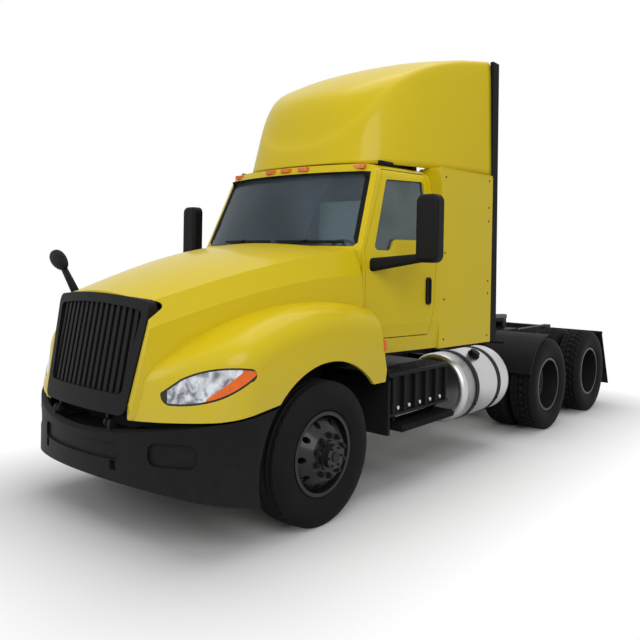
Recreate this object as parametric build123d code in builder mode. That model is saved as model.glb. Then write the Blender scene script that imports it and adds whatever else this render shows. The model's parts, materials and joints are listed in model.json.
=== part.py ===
from build123d import *
from math import atan2, cos, degrees, radians, sin, sqrt
import os

# Day cab tractor unit with a tall roof fairing, as separate pieces in one frame.
# +X points forward, +Y to the driver's left and +Z up. The origin is on the ground below the
# middle of the overall length. Every size is in millimetres.

# Stations along the truck
FRONT_OVERHANG = 1280
WHEELBASE = 4550
TANDEM_SPACING = 1320
REAR_OVERHANG = 1400
OVERALL_LENGTH = FRONT_OVERHANG + WHEELBASE + REAR_OVERHANG
STEER_X = OVERALL_LENGTH / 2 - FRONT_OVERHANG
BOGIE_X = STEER_X - WHEELBASE
DRIVE_X = (BOGIE_X + TANDEM_SPACING / 2, BOGIE_X - TANDEM_SPACING / 2)
SIDES = (1, -1)
RUNNING_GAP = 0.3
SEAT_GAP = 0.3

# Tyres and wheels, with the outboard side along +Y
TYRE_RADIUS = 519
TYRE_WIDTH = 290
TREAD_WIDTH = 244
TREAD_SHOULDER = 22
BEAD_WIDTH = 210
RIM_RADIUS = 286
RIM_WALL = 12
FLANGE_HEIGHT = 14
FLANGE_WIDTH = 14
STEER_TRACK = 2062
DUAL_TRACK = 1838
DUAL_SPACING = 343
DISC_THICK = 14
STEER_DISC_OFFSET = 165
BOLT_FACE_RADIUS = 175
HUB_RADIUS = 105
HUB_CAP_RADIUS = 84
HUB_CAP_LENGTH = 62
DRUM_RADIUS = 205
DRUM_WALL = 16
STEER_SPINDLE_RADIUS = 40
STEER_SPINDLE_END = 95
STEER_HUB_INNER = -70
DRIVE_SPINDLE_RADIUS = 50
DRIVE_SPINDLE_END = 100
DRIVE_HUB_INNER = -150
DRIVE_HUB_OUTER = 165
HAND_HOLE_COUNT = 10
HAND_HOLE_RADIUS = 22
HAND_HOLE_CIRCLE = 226

# Chassis frame
FRAME_TOP = 1020
RAIL_HEIGHT = 270
RAIL_SPREAD = 864
RAIL_FLANGE = 90
RAIL_THICK = 10
RAIL_FRONT_X = STEER_X + 930
RAIL_REAR_X = -OVERALL_LENGTH / 2 + 100
FRAME_BOTTOM = FRAME_TOP - RAIL_HEIGHT
RAIL_FACE_Y = RAIL_SPREAD / 2
RAIL_MID_Y = RAIL_FACE_Y - RAIL_FLANGE / 2
CROSS_HEIGHT = RAIL_HEIGHT - 2 * RAIL_THICK - 10
CROSS_LENGTH = 90
CROSS_X = (STEER_X + 870, STEER_X - 1700, STEER_X - 2900, BOGIE_X + 60, RAIL_REAR_X + 50)

# Front axle, knuckles and tie rod
KINGPIN_TRACK = 1740
KINGPIN_RADIUS = 22
AXLE_EYE_RADIUS = 50
AXLE_EYE_HEIGHT = 120
AXLE_BEAM_WIDTH = 100
AXLE_BEAM_HEIGHT = 110
AXLE_DROP = 90
YOKE_GAP = 2
YOKE_HEIGHT = 48
KNUCKLE_PLATE_IN = 60
KNUCKLE_PLATE_THICK = 24
ARM_REACH = 215
ARM_INSET = 0
ARM_PIN_RADIUS = 14
ARM_THICK = 30
TIE_ROD_RADIUS = 18
TIE_ROD_DROP = 134

# Springs
SPRING_WIDTH = 84
SPRING_HALF_LENGTH = 650
SPRING_THICK = 56
SPRING_EYE_DROP = 44
ARM_FRONT_REACH = 500
ARM_REAR_REACH = 420
ARM_HEIGHT = 50
BAG_RADIUS = 118
BAG_REACH = 310
HOUSING_HALF = 65

# Hood, seen from the front axle line
HOOD_WALL = 28
HOOD_REAR_X = STEER_X - 635
HOOD_NOSE_X = STEER_X + 1240
HOOD_NOSE_ARC = 1980
GRILLE_ARC = 3000
HOOD_LEAN = 0.179
HOOD_FOOT_Z = 853
HOOD_FOOT_SLOPE = 0.13
HOOD_FOOT_X = STEER_X + 1169
FENDER_HALF = 1168
FENDER_CORNER = 300
FENDER_TAIL_X = STEER_X - 748
FENDER_TAIL_TOP = 1470
FENDER_TAIL_FOOT = 975
FENDER_TOP_FRONT = (STEER_X + 1050, 1200)
FENDER_TOP_MIDDLE = (STEER_X + 260, 1545)
FENDER_TOP_REAR = (STEER_X - 600, 1530)
FENDER_TOP_FALL = 0.723
FENDER_TOP_RADIUS = 190
ARCH_RADIUS = 700
ARCH_X = STEER_X - 50
ARCH_Z = 474
CAB_SIDE_CLEAR = 1012

# Bumper
BUMPER_WALL = 40
BUMPER_CORNER_X = STEER_X + 1000
BUMPER_CORNER_Y = 950
BUMPER_SIDE_X = STEER_X + 640
BUMPER_HALF = 1165
BUMPER_REAR_X = STEER_X + 480
BUMPER_BOTTOM = 300
BUMPER_TOP_LINE = ((1400, 730), (1270, 748), (1170, 795), (930, 864), (440, 925))
BUMPER_FOOT_LINE = ((1400, 500), (1280, 470), (1000, 385), (700, 322), (440, 312))
BUMPER_SHELF_Z = 728
BUMPER_RECESS = 20
HOOD_PIVOT_X = STEER_X + 1195
HOOD_PIVOT_Z = 812
HOOD_PIN_RADIUS = 15
HOOD_PIN_Y = 300

# Grille
GRILLE_TOP_HALF = 565
GRILLE_TOP_Z = 1612
GRILLE_FOOT_HALF = 492
GRILLE_FOOT_Z = 880
GRILLE_FRAME = 62
GRILLE_FOOT_BAND = 130
GRILLE_DEPTH = 60
GRILLE_BARS = 15
BAR_WIDTH = 34

# Cab
CAB_FLOOR = 1130
CAB_ROOF = 2720
CAB_BELT = 1900
CAB_HALF = 1120
CAB_SILL_HALF = 1090
CAB_ROOF_HALF = 985
CAB_ROOF_RADIUS = 130
CAB_WALL = 60
CAB_TAPER = 0.155
CAB_FRONT_X = STEER_X - 650
CAB_BACK_X = STEER_X - 1600
SCREEN_BASE_Z = 1985
SCREEN_RAKE = 0.46
SCREEN_ARC = 2300
SCREEN_ARC_HALF = 950
SCREEN_LOW_HALF = 915
SCREEN_HIGH_HALF = 848
SCREEN_LOW_Z = 2012
SCREEN_HIGH_Z = 2644
GLASS_INSET = 14
GLASS_THICK = 7
BACK_WINDOW_HALF = 560
BACK_WINDOW_LOW = 2020
BACK_WINDOW_HIGH = 2480
DOOR_GAP = 8
DOOR_SHEAR = 0.3
DOOR_FRONT_X = STEER_X - 685
DOOR_REAR_X = STEER_X - 1520
DOOR_BOTTOM = 1262
DOOR_TOP = 2672

# Roof fairing and side extenders
FAIRING_BASE = 2742
FAIRING_WALL = 26
FAIRING_REAR_X = STEER_X - 2440
EXTENDER_TOP = 2730
EXTENDER_BOTTOM = 1124
EXTENDER_REAR_X = STEER_X - 2440
EXTENDER_EDGE = 40
EDGE_TOP = 3860
EXTENDER_REAR_HALF = 1195
EXTENDER_FRONT_HALF = 1118
EXTENDER_THICK = 36

# Tanks, boxes and rear pieces
TANK_RADIUS = 330
TANK_FRONT_X = STEER_X - 1950
TANK_REAR_X = STEER_X - 2905
TANK_Y = 870
TANK_Z = 690
STRAP_WIDTH = 56
STRAP_THICK = 6
STRAP_X = (STEER_X - 2200, STEER_X - 2650)
BOX_FRONT_X = STEER_X - 800
BOX_REAR_X = STEER_X - 1740
BOX_TOP = 985
BOX_BOTTOM = 640
BOX_FACE_Y = 1120
STEP_Z = 535
STEP_THICK = 46
STEP_FACE_Y = 1200
STEP_DEPTH = 240
QUARTER_RADIUS = 562
QUARTER_THICK = 12
QUARTER_INNER_Y = 600
QUARTER_OUTER_Y = 1225
FLAP_THICK = 12
FLAP_TOP_Z = 985
FLAP_BOTTOM_Z = 268
FLAP_SLANT = 300

# Fifth wheel
FIFTH_X = BOGIE_X + 170
FIFTH_TOP = 1205
FIFTH_THICK = 46
FIFTH_HALF = 460
FIFTH_FRONT = 400
FIFTH_REAR = 470
FIFTH_PIVOT_Z = 1105
FIFTH_PIN_RADIUS = 25
FIFTH_PIN_Y = 330
KINGPIN_SEAT_RADIUS = 25.5

# Mirrors
MIRROR_X = STEER_X - 865
MIRROR_Y = 1450
MIRROR_WIDTH = 200
MIRROR_DEPTH = 110
MIRROR_LOW = 1890
MIRROR_HIGH = 2425
MIRROR_FOOT_X = STEER_X - 765
MIRROR_FOOT_Z = 1862
HANDLE_X = STEER_X - 1440
HANDLE_Z = 1640
HANDLE_LENGTH = 240
HANDLE_WIDTH = 62
HINGE_RADIUS = 10
HINGE_LENGTH = 70
HINGE_Z = (1480, 1850)

os.makedirs("parts", exist_ok=True)


def save(part, name):
    part.label = name
    export_step(part, os.path.join("parts", name + ".step"))


# Tyres

def make_tyre():
    bead = BEAD_WIDTH / 2
    wall_foot = RIM_RADIUS + FLANGE_HEIGHT + 3
    wall_top = TYRE_RADIUS - TREAD_SHOULDER
    wall_mid = (wall_foot + wall_top) / 2
    with BuildPart() as tyre:
        with BuildSketch(Plane.YZ):
            with BuildLine():
                Line((0, RIM_RADIUS), (bead, RIM_RADIUS))
                Line((bead, RIM_RADIUS), (bead, wall_foot))
                ThreePointArc((bead, wall_foot), (TYRE_WIDTH / 2, wall_mid), (TREAD_WIDTH / 2 + 8, wall_top))
                Line((TREAD_WIDTH / 2 + 8, wall_top), (TREAD_WIDTH / 2 - 14, TYRE_RADIUS))
                Line((TREAD_WIDTH / 2 - 14, TYRE_RADIUS), (0, TYRE_RADIUS))
                mirror(about=Plane.YZ)
            make_face()
        revolve(axis=Axis.Y)
    return tyre.part


def make_rim_rows(centre_y):
    half = BEAD_WIDTH / 2
    full = half + FLANGE_WIDTH
    inner = RIM_RADIUS - RIM_WALL
    return [
        (centre_y - full, centre_y + full, inner, RIM_RADIUS - SEAT_GAP),
        (centre_y + half + SEAT_GAP, centre_y + full, inner, RIM_RADIUS + FLANGE_HEIGHT),
        (centre_y - full, centre_y - half - SEAT_GAP, inner, RIM_RADIUS + FLANGE_HEIGHT),
    ]


def make_steer_wheel():
    bore = STEER_SPINDLE_RADIUS + RUNNING_GAP
    bore_end = STEER_SPINDLE_END + 5
    face = STEER_DISC_OFFSET
    rows = make_rim_rows(0) + [
        (STEER_HUB_INNER, bore_end, bore, HUB_RADIUS),
        (bore_end, face + 20, 0, HUB_RADIUS),
        (face, face + HUB_CAP_LENGTH, 0, HUB_CAP_RADIUS),
        (face - DISC_THICK, face, HUB_RADIUS - 5, BOLT_FACE_RADIUS),
        (-8, 10, HUB_RADIUS - 5, DRUM_RADIUS),
        (-100, 10, DRUM_RADIUS - DRUM_WALL, DRUM_RADIUS),
    ]
    rim_inner = RIM_RADIUS - RIM_WALL + 4
    with BuildPart() as wheel:
        for y_from, y_to, r_from, r_to in rows:
            with BuildSketch(Plane.YZ):
                with Locations(((y_from + y_to) / 2, (r_from + r_to) / 2)):
                    Rectangle(y_to - y_from, r_to - r_from)
            revolve(axis=Axis.Y)
        with BuildSketch(Plane.YZ):
            Polygon(
                (38, rim_inner), (62, rim_inner), (face, BOLT_FACE_RADIUS), (face, BOLT_FACE_RADIUS - 14),
                (face - DISC_THICK, BOLT_FACE_RADIUS - 14), align=None,
            )
        revolve(axis=Axis.Y)
        with BuildSketch(Plane.XZ.offset(-30)):
            with PolarLocations(HAND_HOLE_CIRCLE, HAND_HOLE_COUNT):
                Circle(HAND_HOLE_RADIUS)
        extrude(amount=-face, mode=Mode.SUBTRACT)
    return wheel.part


def make_drive_wheel():
    bore = DRIVE_SPINDLE_RADIUS + RUNNING_GAP
    bore_end = DRIVE_SPINDLE_END + 5
    half = DUAL_SPACING / 2
    rows = make_rim_rows(half) + make_rim_rows(-half) + [
        (DRIVE_HUB_INNER, bore_end, bore, HUB_RADIUS),
        (bore_end, DRIVE_HUB_OUTER, 0, HUB_RADIUS),
        (-DISC_THICK, DISC_THICK, HUB_RADIUS - 5, BOLT_FACE_RADIUS),
        (-75, -58, HUB_RADIUS - 5, DRUM_RADIUS),
        (-285, -58, DRUM_RADIUS - DRUM_WALL, DRUM_RADIUS),
    ]
    rim_inner = RIM_RADIUS - RIM_WALL + 4
    reach = half - BEAD_WIDTH / 2 + 35
    with BuildPart() as wheel:
        for y_from, y_to, r_from, r_to in rows:
            with BuildSketch(Plane.YZ):
                with Locations(((y_from + y_to) / 2, (r_from + r_to) / 2)):
                    Rectangle(y_to - y_from, r_to - r_from)
            revolve(axis=Axis.Y)
        for side in SIDES:
            with BuildSketch(Plane.YZ):
                Polygon(
                    (0, BOLT_FACE_RADIUS), (0, BOLT_FACE_RADIUS - 14), (side * DISC_THICK, BOLT_FACE_RADIUS - 14),
                    (side * (reach + 12), rim_inner), (side * (reach - 12), rim_inner), align=None,
                )
            revolve(axis=Axis.Y)
        with BuildSketch(Plane.XZ.offset(-20)):
            with PolarLocations(HAND_HOLE_CIRCLE, HAND_HOLE_COUNT):
                Circle(HAND_HOLE_RADIUS)
        extrude(amount=-reach - 20, mode=Mode.SUBTRACT)
    return wheel.part


tyre_form = make_tyre()
steer_wheel_form = make_steer_wheel()
drive_wheel_form = make_drive_wheel()
SIDE_NAMES = (("left", 1), ("right", -1))
AXLE_NAMES = (("forward", DRIVE_X[0]), ("rear", DRIVE_X[1]))

for side_name, side in SIDE_NAMES:
    turn = Rot(0, 0, 0 if side > 0 else 180)
    steer_place = Pos(STEER_X, side * STEER_TRACK / 2, TYRE_RADIUS) * turn
    save(steer_place * tyre_form, "tyre_steer_" + side_name)
    save(steer_place * steer_wheel_form, "wheel_steer_" + side_name)
    for axle_name, axle_x in AXLE_NAMES:
        drive_place = Pos(axle_x, side * DUAL_TRACK / 2, TYRE_RADIUS) * turn
        with BuildPart() as dual:
            add(drive_place * Pos(0, DUAL_SPACING / 2, 0) * tyre_form)
            add(drive_place * Pos(0, -DUAL_SPACING / 2, 0) * tyre_form)
        save(dual.part, "tyres_" + axle_name + "_" + side_name)
        save(drive_place * drive_wheel_form, "wheels_" + axle_name + "_" + side_name)


# Frame

with BuildPart() as rails:
    with BuildSketch(Plane.YZ.offset(RAIL_REAR_X)):
        for side in SIDES:
            with Locations((side * RAIL_MID_Y, FRAME_TOP - RAIL_HEIGHT / 2)):
                Rectangle(RAIL_FLANGE, RAIL_HEIGHT)
            with Locations((side * (RAIL_MID_Y - RAIL_THICK), FRAME_TOP - RAIL_HEIGHT / 2)):
                Rectangle(RAIL_FLANGE, RAIL_HEIGHT - 2 * RAIL_THICK, mode=Mode.SUBTRACT)
    extrude(amount=RAIL_FRONT_X - RAIL_REAR_X)
save(rails.part, "frame_rails")

with BuildPart() as crossmembers:
    for cross_x in CROSS_X:
        with Locations((cross_x, 0, FRAME_TOP - RAIL_HEIGHT / 2)):
            Box(CROSS_LENGTH, RAIL_SPREAD - 2 * RAIL_THICK, CROSS_HEIGHT)
save(crossmembers.part, "crossmembers")


# Front axle, knuckles, tie rod

KINGPIN_Y = KINGPIN_TRACK / 2
BEAM_TOP = TYRE_RADIUS - AXLE_DROP + AXLE_BEAM_HEIGHT / 2

with BuildPart() as axle:
    with BuildSketch(Plane.YZ.offset(STEER_X - AXLE_BEAM_WIDTH / 2)):
        with BuildLine():
            Polyline(
                (0, BEAM_TOP - AXLE_BEAM_HEIGHT), (RAIL_MID_Y + 80, BEAM_TOP - AXLE_BEAM_HEIGHT),
                (KINGPIN_Y - 60, TYRE_RADIUS - AXLE_EYE_HEIGHT / 2), (KINGPIN_Y, TYRE_RADIUS - AXLE_EYE_HEIGHT / 2),
                (KINGPIN_Y, TYRE_RADIUS + AXLE_EYE_HEIGHT / 2), (KINGPIN_Y - 90, TYRE_RADIUS + AXLE_EYE_HEIGHT / 2),
                (RAIL_MID_Y + 60, BEAM_TOP), (0, BEAM_TOP),
            )
            mirror(about=Plane.YZ)
        make_face()
    extrude(amount=AXLE_BEAM_WIDTH)
    for side in SIDES:
        with Locations((STEER_X, side * KINGPIN_Y, TYRE_RADIUS)):
            Cylinder(AXLE_EYE_RADIUS, AXLE_EYE_HEIGHT)
            Cylinder(KINGPIN_RADIUS + RUNNING_GAP, AXLE_EYE_HEIGHT, mode=Mode.SUBTRACT)
save(axle.part, "front_axle")


def make_knuckle(side):
    yoke_z = AXLE_EYE_HEIGHT / 2 + YOKE_GAP + YOKE_HEIGHT / 2
    plate_y = KINGPIN_Y + KNUCKLE_PLATE_IN + KNUCKLE_PLATE_THICK / 2
    span = 2 * (AXLE_EYE_HEIGHT / 2 + YOKE_GAP + YOKE_HEIGHT)
    spindle_start = KINGPIN_Y + KNUCKLE_PLATE_IN
    spindle_end = STEER_TRACK / 2 + STEER_SPINDLE_END
    arm_z = TYRE_RADIUS - span / 2 + ARM_THICK / 2
    with BuildPart() as knuckle:
        with Locations((STEER_X, side * KINGPIN_Y, TYRE_RADIUS)):
            Cylinder(KINGPIN_RADIUS, span)
        for level in SIDES:
            with Locations((STEER_X, side * KINGPIN_Y, TYRE_RADIUS + level * yoke_z)):
                Cylinder(AXLE_EYE_RADIUS, YOKE_HEIGHT)
            with Locations((STEER_X, side * (KINGPIN_Y + plate_y) / 2, TYRE_RADIUS + level * yoke_z)):
                Box(2 * AXLE_EYE_RADIUS, plate_y - KINGPIN_Y, YOKE_HEIGHT)
        with Locations((STEER_X, side * plate_y, TYRE_RADIUS)):
            Box(2 * AXLE_EYE_RADIUS, KNUCKLE_PLATE_THICK, span)
        with Locations((STEER_X, side * (spindle_start + spindle_end) / 2, TYRE_RADIUS)):
            Cylinder(STEER_SPINDLE_RADIUS, spindle_end - spindle_start, rotation=(90, 0, 0))
        with Locations((STEER_X - ARM_REACH / 2, side * (KINGPIN_Y - ARM_INSET), arm_z)):
            Box(ARM_REACH, 56, ARM_THICK)
        with Locations((STEER_X - ARM_REACH, side * (KINGPIN_Y - ARM_INSET), arm_z)):
            Cylinder(28, ARM_THICK)
            Cylinder(ARM_PIN_RADIUS + RUNNING_GAP, ARM_THICK, mode=Mode.SUBTRACT)
    return knuckle.part


for side_name, side in SIDE_NAMES:
    save(make_knuckle(side), "knuckle_" + side_name)

ROD_END_Y = KINGPIN_Y - ARM_INSET
ROD_Z = TYRE_RADIUS - TIE_ROD_DROP
ROD_PIN_TOP = TYRE_RADIUS - AXLE_EYE_HEIGHT / 2 - YOKE_GAP - YOKE_HEIGHT + ARM_THICK
with BuildPart() as tie_rod:
    for side in SIDES:
        with Locations((STEER_X - ARM_REACH, side * ROD_END_Y, ROD_Z)):
            Box(52, 52, 40)
        with Locations((STEER_X - ARM_REACH, side * ROD_END_Y, (ROD_Z + 10 + ROD_PIN_TOP) / 2)):
            Cylinder(ARM_PIN_RADIUS, ROD_PIN_TOP - ROD_Z - 10)
    with Locations((STEER_X - ARM_REACH, 0, ROD_Z)):
        Cylinder(TIE_ROD_RADIUS, 2 * ROD_END_Y - 30, rotation=(90, 0, 0))
save(tie_rod.part, "tie_rod")


# Springs and suspension

SPRING_SEAT_Z = BEAM_TOP
SPRING_END_Z = FRAME_BOTTOM - SPRING_EYE_DROP
with BuildPart() as front_springs:
    for side in SIDES:
        with BuildSketch(Plane.XZ.offset(-side * RAIL_MID_Y - SPRING_WIDTH / 2)):
            with BuildLine():
                low = SPRING_SEAT_Z + 26
                ThreePointArc(
                    (STEER_X - SPRING_HALF_LENGTH, SPRING_END_Z), (STEER_X, low),
                    (STEER_X + SPRING_HALF_LENGTH, SPRING_END_Z),
                )
                Line((STEER_X + SPRING_HALF_LENGTH, SPRING_END_Z), (STEER_X + SPRING_HALF_LENGTH, SPRING_END_Z + 26))
                ThreePointArc(
                    (STEER_X + SPRING_HALF_LENGTH, SPRING_END_Z + 26), (STEER_X, low + SPRING_THICK),
                    (STEER_X - SPRING_HALF_LENGTH, SPRING_END_Z + 26),
                )
                Line((STEER_X - SPRING_HALF_LENGTH, SPRING_END_Z + 26), (STEER_X - SPRING_HALF_LENGTH, SPRING_END_Z))
            make_face()
            with Locations((STEER_X, SPRING_SEAT_Z + 20)):
                Rectangle(200, 40)
            for end in SIDES:
                with Locations((STEER_X + end * SPRING_HALF_LENGTH, (SPRING_END_Z - 10 + FRAME_BOTTOM) / 2)):
                    Rectangle(90, FRAME_BOTTOM - SPRING_END_Z + 10)
        extrude(amount=SPRING_WIDTH)
save(front_springs.part, "front_springs")

ARM_BOTTOM = TYRE_RADIUS + HOUSING_HALF
with BuildPart() as rear_suspension:
    for axle_x in DRIVE_X:
        for side in SIDES:
            arm_length = ARM_FRONT_REACH + ARM_REAR_REACH
            arm_x = axle_x + (ARM_FRONT_REACH - ARM_REAR_REACH) / 2
            with Locations((arm_x, side * RAIL_MID_Y, ARM_BOTTOM + ARM_HEIGHT / 2)):
                Box(arm_length, SPRING_WIDTH, ARM_HEIGHT)
            with Locations((axle_x + ARM_FRONT_REACH - 45, side * RAIL_MID_Y, (ARM_BOTTOM - 30 + FRAME_BOTTOM) / 2)):
                Box(90, RAIL_FLANGE, FRAME_BOTTOM - ARM_BOTTOM + 30)
            with Locations((axle_x - BAG_REACH, side * RAIL_MID_Y, (ARM_BOTTOM + ARM_HEIGHT + FRAME_BOTTOM) / 2)):
                Cylinder(BAG_RADIUS, FRAME_BOTTOM - ARM_BOTTOM - ARM_HEIGHT)
save(rear_suspension.part, "rear_suspension")

with BuildPart() as drive_axles:
    for index, axle_x in enumerate(DRIVE_X):
        housing_end = DUAL_TRACK / 2 + DRIVE_HUB_INNER - 5
        with Locations((axle_x, 0, TYRE_RADIUS)):
            Box(2 * HOUSING_HALF, 2 * RAIL_FACE_Y, 2 * HOUSING_HALF)
            Cylinder(HOUSING_HALF - 4, 2 * housing_end, rotation=(90, 0, 0))
            Cylinder(DRIVE_SPINDLE_RADIUS, DUAL_TRACK + 2 * DRIVE_SPINDLE_END, rotation=(90, 0, 0))
            Sphere(205)
        with Locations((axle_x + 130, 0, TYRE_RADIUS + 10)):
            Cylinder(105, 260, rotation=(0, 90, 0))
        if index == 0:
            with Locations((axle_x - 120, 0, TYRE_RADIUS + 10)):
                Cylinder(75, 240, rotation=(0, 90, 0))
save(drive_axles.part, "drive_axles")


# Engine, gearbox, radiator and drive shafts

ENGINE_FRONT_X = STEER_X + 600
ENGINE_REAR_X = STEER_X - 400
ENGINE_BOTTOM = 620
ENGINE_TOP = 1520
GEARBOX_END_X = STEER_X - 1520
GEARBOX_Z = 690
SHAFT_RADIUS = 52
SHAFT_NOSE_Z = TYRE_RADIUS + 10
with BuildPart() as engine:
    with Locations(((ENGINE_FRONT_X + ENGINE_REAR_X) / 2, 0, (ENGINE_BOTTOM + ENGINE_TOP) / 2)):
        Box(ENGINE_FRONT_X - ENGINE_REAR_X, 560, ENGINE_TOP - ENGINE_BOTTOM)
    with Locations(((ENGINE_FRONT_X + ENGINE_REAR_X) / 2, 0, FRAME_TOP - 60)):
        Box(160, 2 * (RAIL_FACE_Y - RAIL_THICK), 80)
    with Locations(((ENGINE_REAR_X + GEARBOX_END_X) / 2, 0, GEARBOX_Z + 110)):
        Cylinder(250, ENGINE_REAR_X - GEARBOX_END_X, rotation=(0, 90, 0))
save(engine.part, "engine")

with BuildPart() as radiator:
    with Locations((STEER_X + 850, 0, (FRAME_TOP + 1540) / 2)):
        Box(120, 900, 1540 - FRAME_TOP)
save(radiator.part, "radiator")

AXLE_NOSE_X = DRIVE_X[0] + 260
SHAFT_DX = GEARBOX_END_X - AXLE_NOSE_X
SHAFT_DZ = GEARBOX_Z - SHAFT_NOSE_Z
SHAFT_PITCH = degrees(atan2(SHAFT_DZ, SHAFT_DX))
with BuildPart() as drive_shafts:
    with Locations(Location(((GEARBOX_END_X + AXLE_NOSE_X) / 2, 0, (GEARBOX_Z + SHAFT_NOSE_Z) / 2), (0, -SHAFT_PITCH, 0))):
        Cylinder(SHAFT_RADIUS, sqrt(SHAFT_DX ** 2 + SHAFT_DZ ** 2) - 60, rotation=(0, 90, 0))
    for joint_x, joint_z, toward in ((GEARBOX_END_X, GEARBOX_Z, -1), (AXLE_NOSE_X, SHAFT_NOSE_Z, 1)):
        with Locations((joint_x + toward * 40, 0, joint_z)):
            Box(80, 90, 90)
    inner_front = DRIVE_X[0] - 240
    inner_rear = DRIVE_X[1] + 260
    with Locations(((inner_front + inner_rear) / 2, 0, SHAFT_NOSE_Z)):
        Cylinder(SHAFT_RADIUS - 8, inner_front - inner_rear, rotation=(0, 90, 0))
save(drive_shafts.part, "drive_shafts")


# Hood with fenders, and the pieces let into it

def make_hood_body(inset, rear_x):
    half = FENDER_HALF - inset
    nose_x = HOOD_NOSE_X - inset
    edge_x = nose_x - (HOOD_NOSE_ARC - sqrt(HOOD_NOSE_ARC ** 2 - half ** 2))
    low_z = HOOD_FOOT_Z - 300
    front_x, front_z = FENDER_TOP_FRONT
    middle_x, middle_z = FENDER_TOP_MIDDLE
    back_x, back_z = FENDER_TOP_REAR
    ahead = 550
    with BuildPart() as lower:
        with BuildSketch(Plane.XY.offset(low_z)):
            shift = HOOD_LEAN * (HOOD_FOOT_Z - low_z)
            with BuildLine():
                ThreePointArc((edge_x + shift, -half), (nose_x + shift, 0), (edge_x + shift, half))
                Polyline((edge_x + shift, half), (rear_x + 100, half), (rear_x + 100, -half), (edge_x + shift, -half))
            nose = make_face()
            corners = nose.vertices().group_by(Axis.X)[-1]
            fillet(corners, FENDER_CORNER - inset)
        extrude(amount=1200, dir=(-HOOD_LEAN, 0, 1))
        with BuildSketch(Plane.XZ.offset(-2000)):
            with BuildLine():
                ThreePointArc((front_x, front_z - inset), (middle_x, middle_z - inset), (back_x, back_z - inset))
                Polyline(
                    (back_x, back_z - inset), (rear_x, back_z - inset - 16), (rear_x, low_z + 1),
                    (front_x + ahead, low_z + 1), (front_x + ahead, front_z - inset - FENDER_TOP_FALL * ahead),
                    (front_x, front_z - inset),
                )
            make_face()
        extrude(amount=4000, mode=Mode.INTERSECT)
        rims = [edge for edge in lower.edges() if edge.center().Z > 1000 - inset and edge.center().X > rear_x + 5]
        rims = [edge for edge in rims if abs(edge.tangent_at(0.5).Z) < 0.85 and abs(edge.center().Y) > 1]
        nose_rims = [edge for edge in lower.edges() if edge.center().Z > 1000 - inset and abs(edge.center().Y) <= 1]
        nose_rims = [edge for edge in nose_rims if edge.center().X > STEER_X + 1000]
        fillet(rims + nose_rims, FENDER_TOP_RADIUS - inset)
    return lower.part


HOOD_SECTIONS = (
    # station ahead of the axle, foot z, foot half, crease half, crease z, shoulder half, shoulder z, crown z
    (-640, 1150, 1030, 1000, 1778, 935, 1990, 2045),
    (0, 1000, 872, 842, 1720, 770, 1888, 1968),
    (600, 950, 725, 697, 1584, 625, 1738, 1815),
    (1180, 860, 540, 553, 1405, 483, 1565, 1634),
)


def make_bonnet(inset, rear_x):
    with BuildPart() as bonnet:
        for index, row in enumerate(HOOD_SECTIONS):
            station, foot_z, foot_half, crease_half, crease_z, shoulder_half, shoulder_z, crown_z = row
            section_x = STEER_X + station
            if index == 0:
                section_x = rear_x
            with BuildSketch(Plane.YZ.offset(section_x)):
                with BuildLine():
                    Polyline(
                        (shoulder_half - inset, shoulder_z - inset), (crease_half - inset, crease_z),
                        (foot_half - inset, foot_z), (inset - foot_half, foot_z),
                        (inset - crease_half, crease_z), (inset - shoulder_half, shoulder_z - inset),
                    )
                    ThreePointArc(
                        (inset - shoulder_half, shoulder_z - inset), (0, crown_z - inset),
                        (shoulder_half - inset, shoulder_z - inset),
                    )
                make_face()
        loft()
    return bonnet.part


def make_nose_limit(inset):
    half = 1500
    nose_x = HOOD_NOSE_X - inset
    edge_x = nose_x - (GRILLE_ARC - sqrt(GRILLE_ARC ** 2 - half ** 2))
    with BuildPart() as limit:
        with BuildSketch(Plane.XY.offset(HOOD_FOOT_Z - 300)):
            shift = HOOD_LEAN * 300
            with BuildLine():
                ThreePointArc((edge_x + shift, -half), (nose_x + shift, 0), (edge_x + shift, half))
                Polyline((edge_x + shift, half), (STEER_X - 1800, half), (STEER_X - 1800, -half), (edge_x + shift, -half))
            make_face()
        extrude(amount=2200, dir=(-HOOD_LEAN, 0, 1))
    return limit.part


def make_hood_form(inset, rear_x):
    with BuildPart() as form:
        add(make_bonnet(inset, rear_x))
        add(make_nose_limit(inset), mode=Mode.INTERSECT)
        add(make_hood_body(inset, rear_x))
    return form.part


def make_grille_prism(grow, x_from, x_to):
    with BuildPart() as prism:
        with BuildSketch(Plane.YZ.offset(x_from)):
            with BuildLine():
                Polyline(
                    (GRILLE_TOP_HALF + grow, GRILLE_TOP_Z), (GRILLE_FOOT_HALF + grow, GRILLE_FOOT_Z - grow),
                    (-GRILLE_FOOT_HALF - grow, GRILLE_FOOT_Z - grow), (-GRILLE_TOP_HALF - grow, GRILLE_TOP_Z),
                )
                ThreePointArc(
                    (-GRILLE_TOP_HALF - grow, GRILLE_TOP_Z), (0, GRILLE_TOP_Z + 34 + grow),
                    (GRILLE_TOP_HALF + grow, GRILLE_TOP_Z),
                )
            outline = make_face()
            fillet(outline.vertices(), 60 + grow)
        extrude(amount=x_to - x_from)
    return prism.part


LAMP_NORMAL = Vector(0.62, 0.785, 0).normalized()
LAMP_X = STEER_X + 860
LAMP_Y = 950
LAMP_Z = 1100
LAMP_DEPTH = 30
LAMP_GAP = 3


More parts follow.
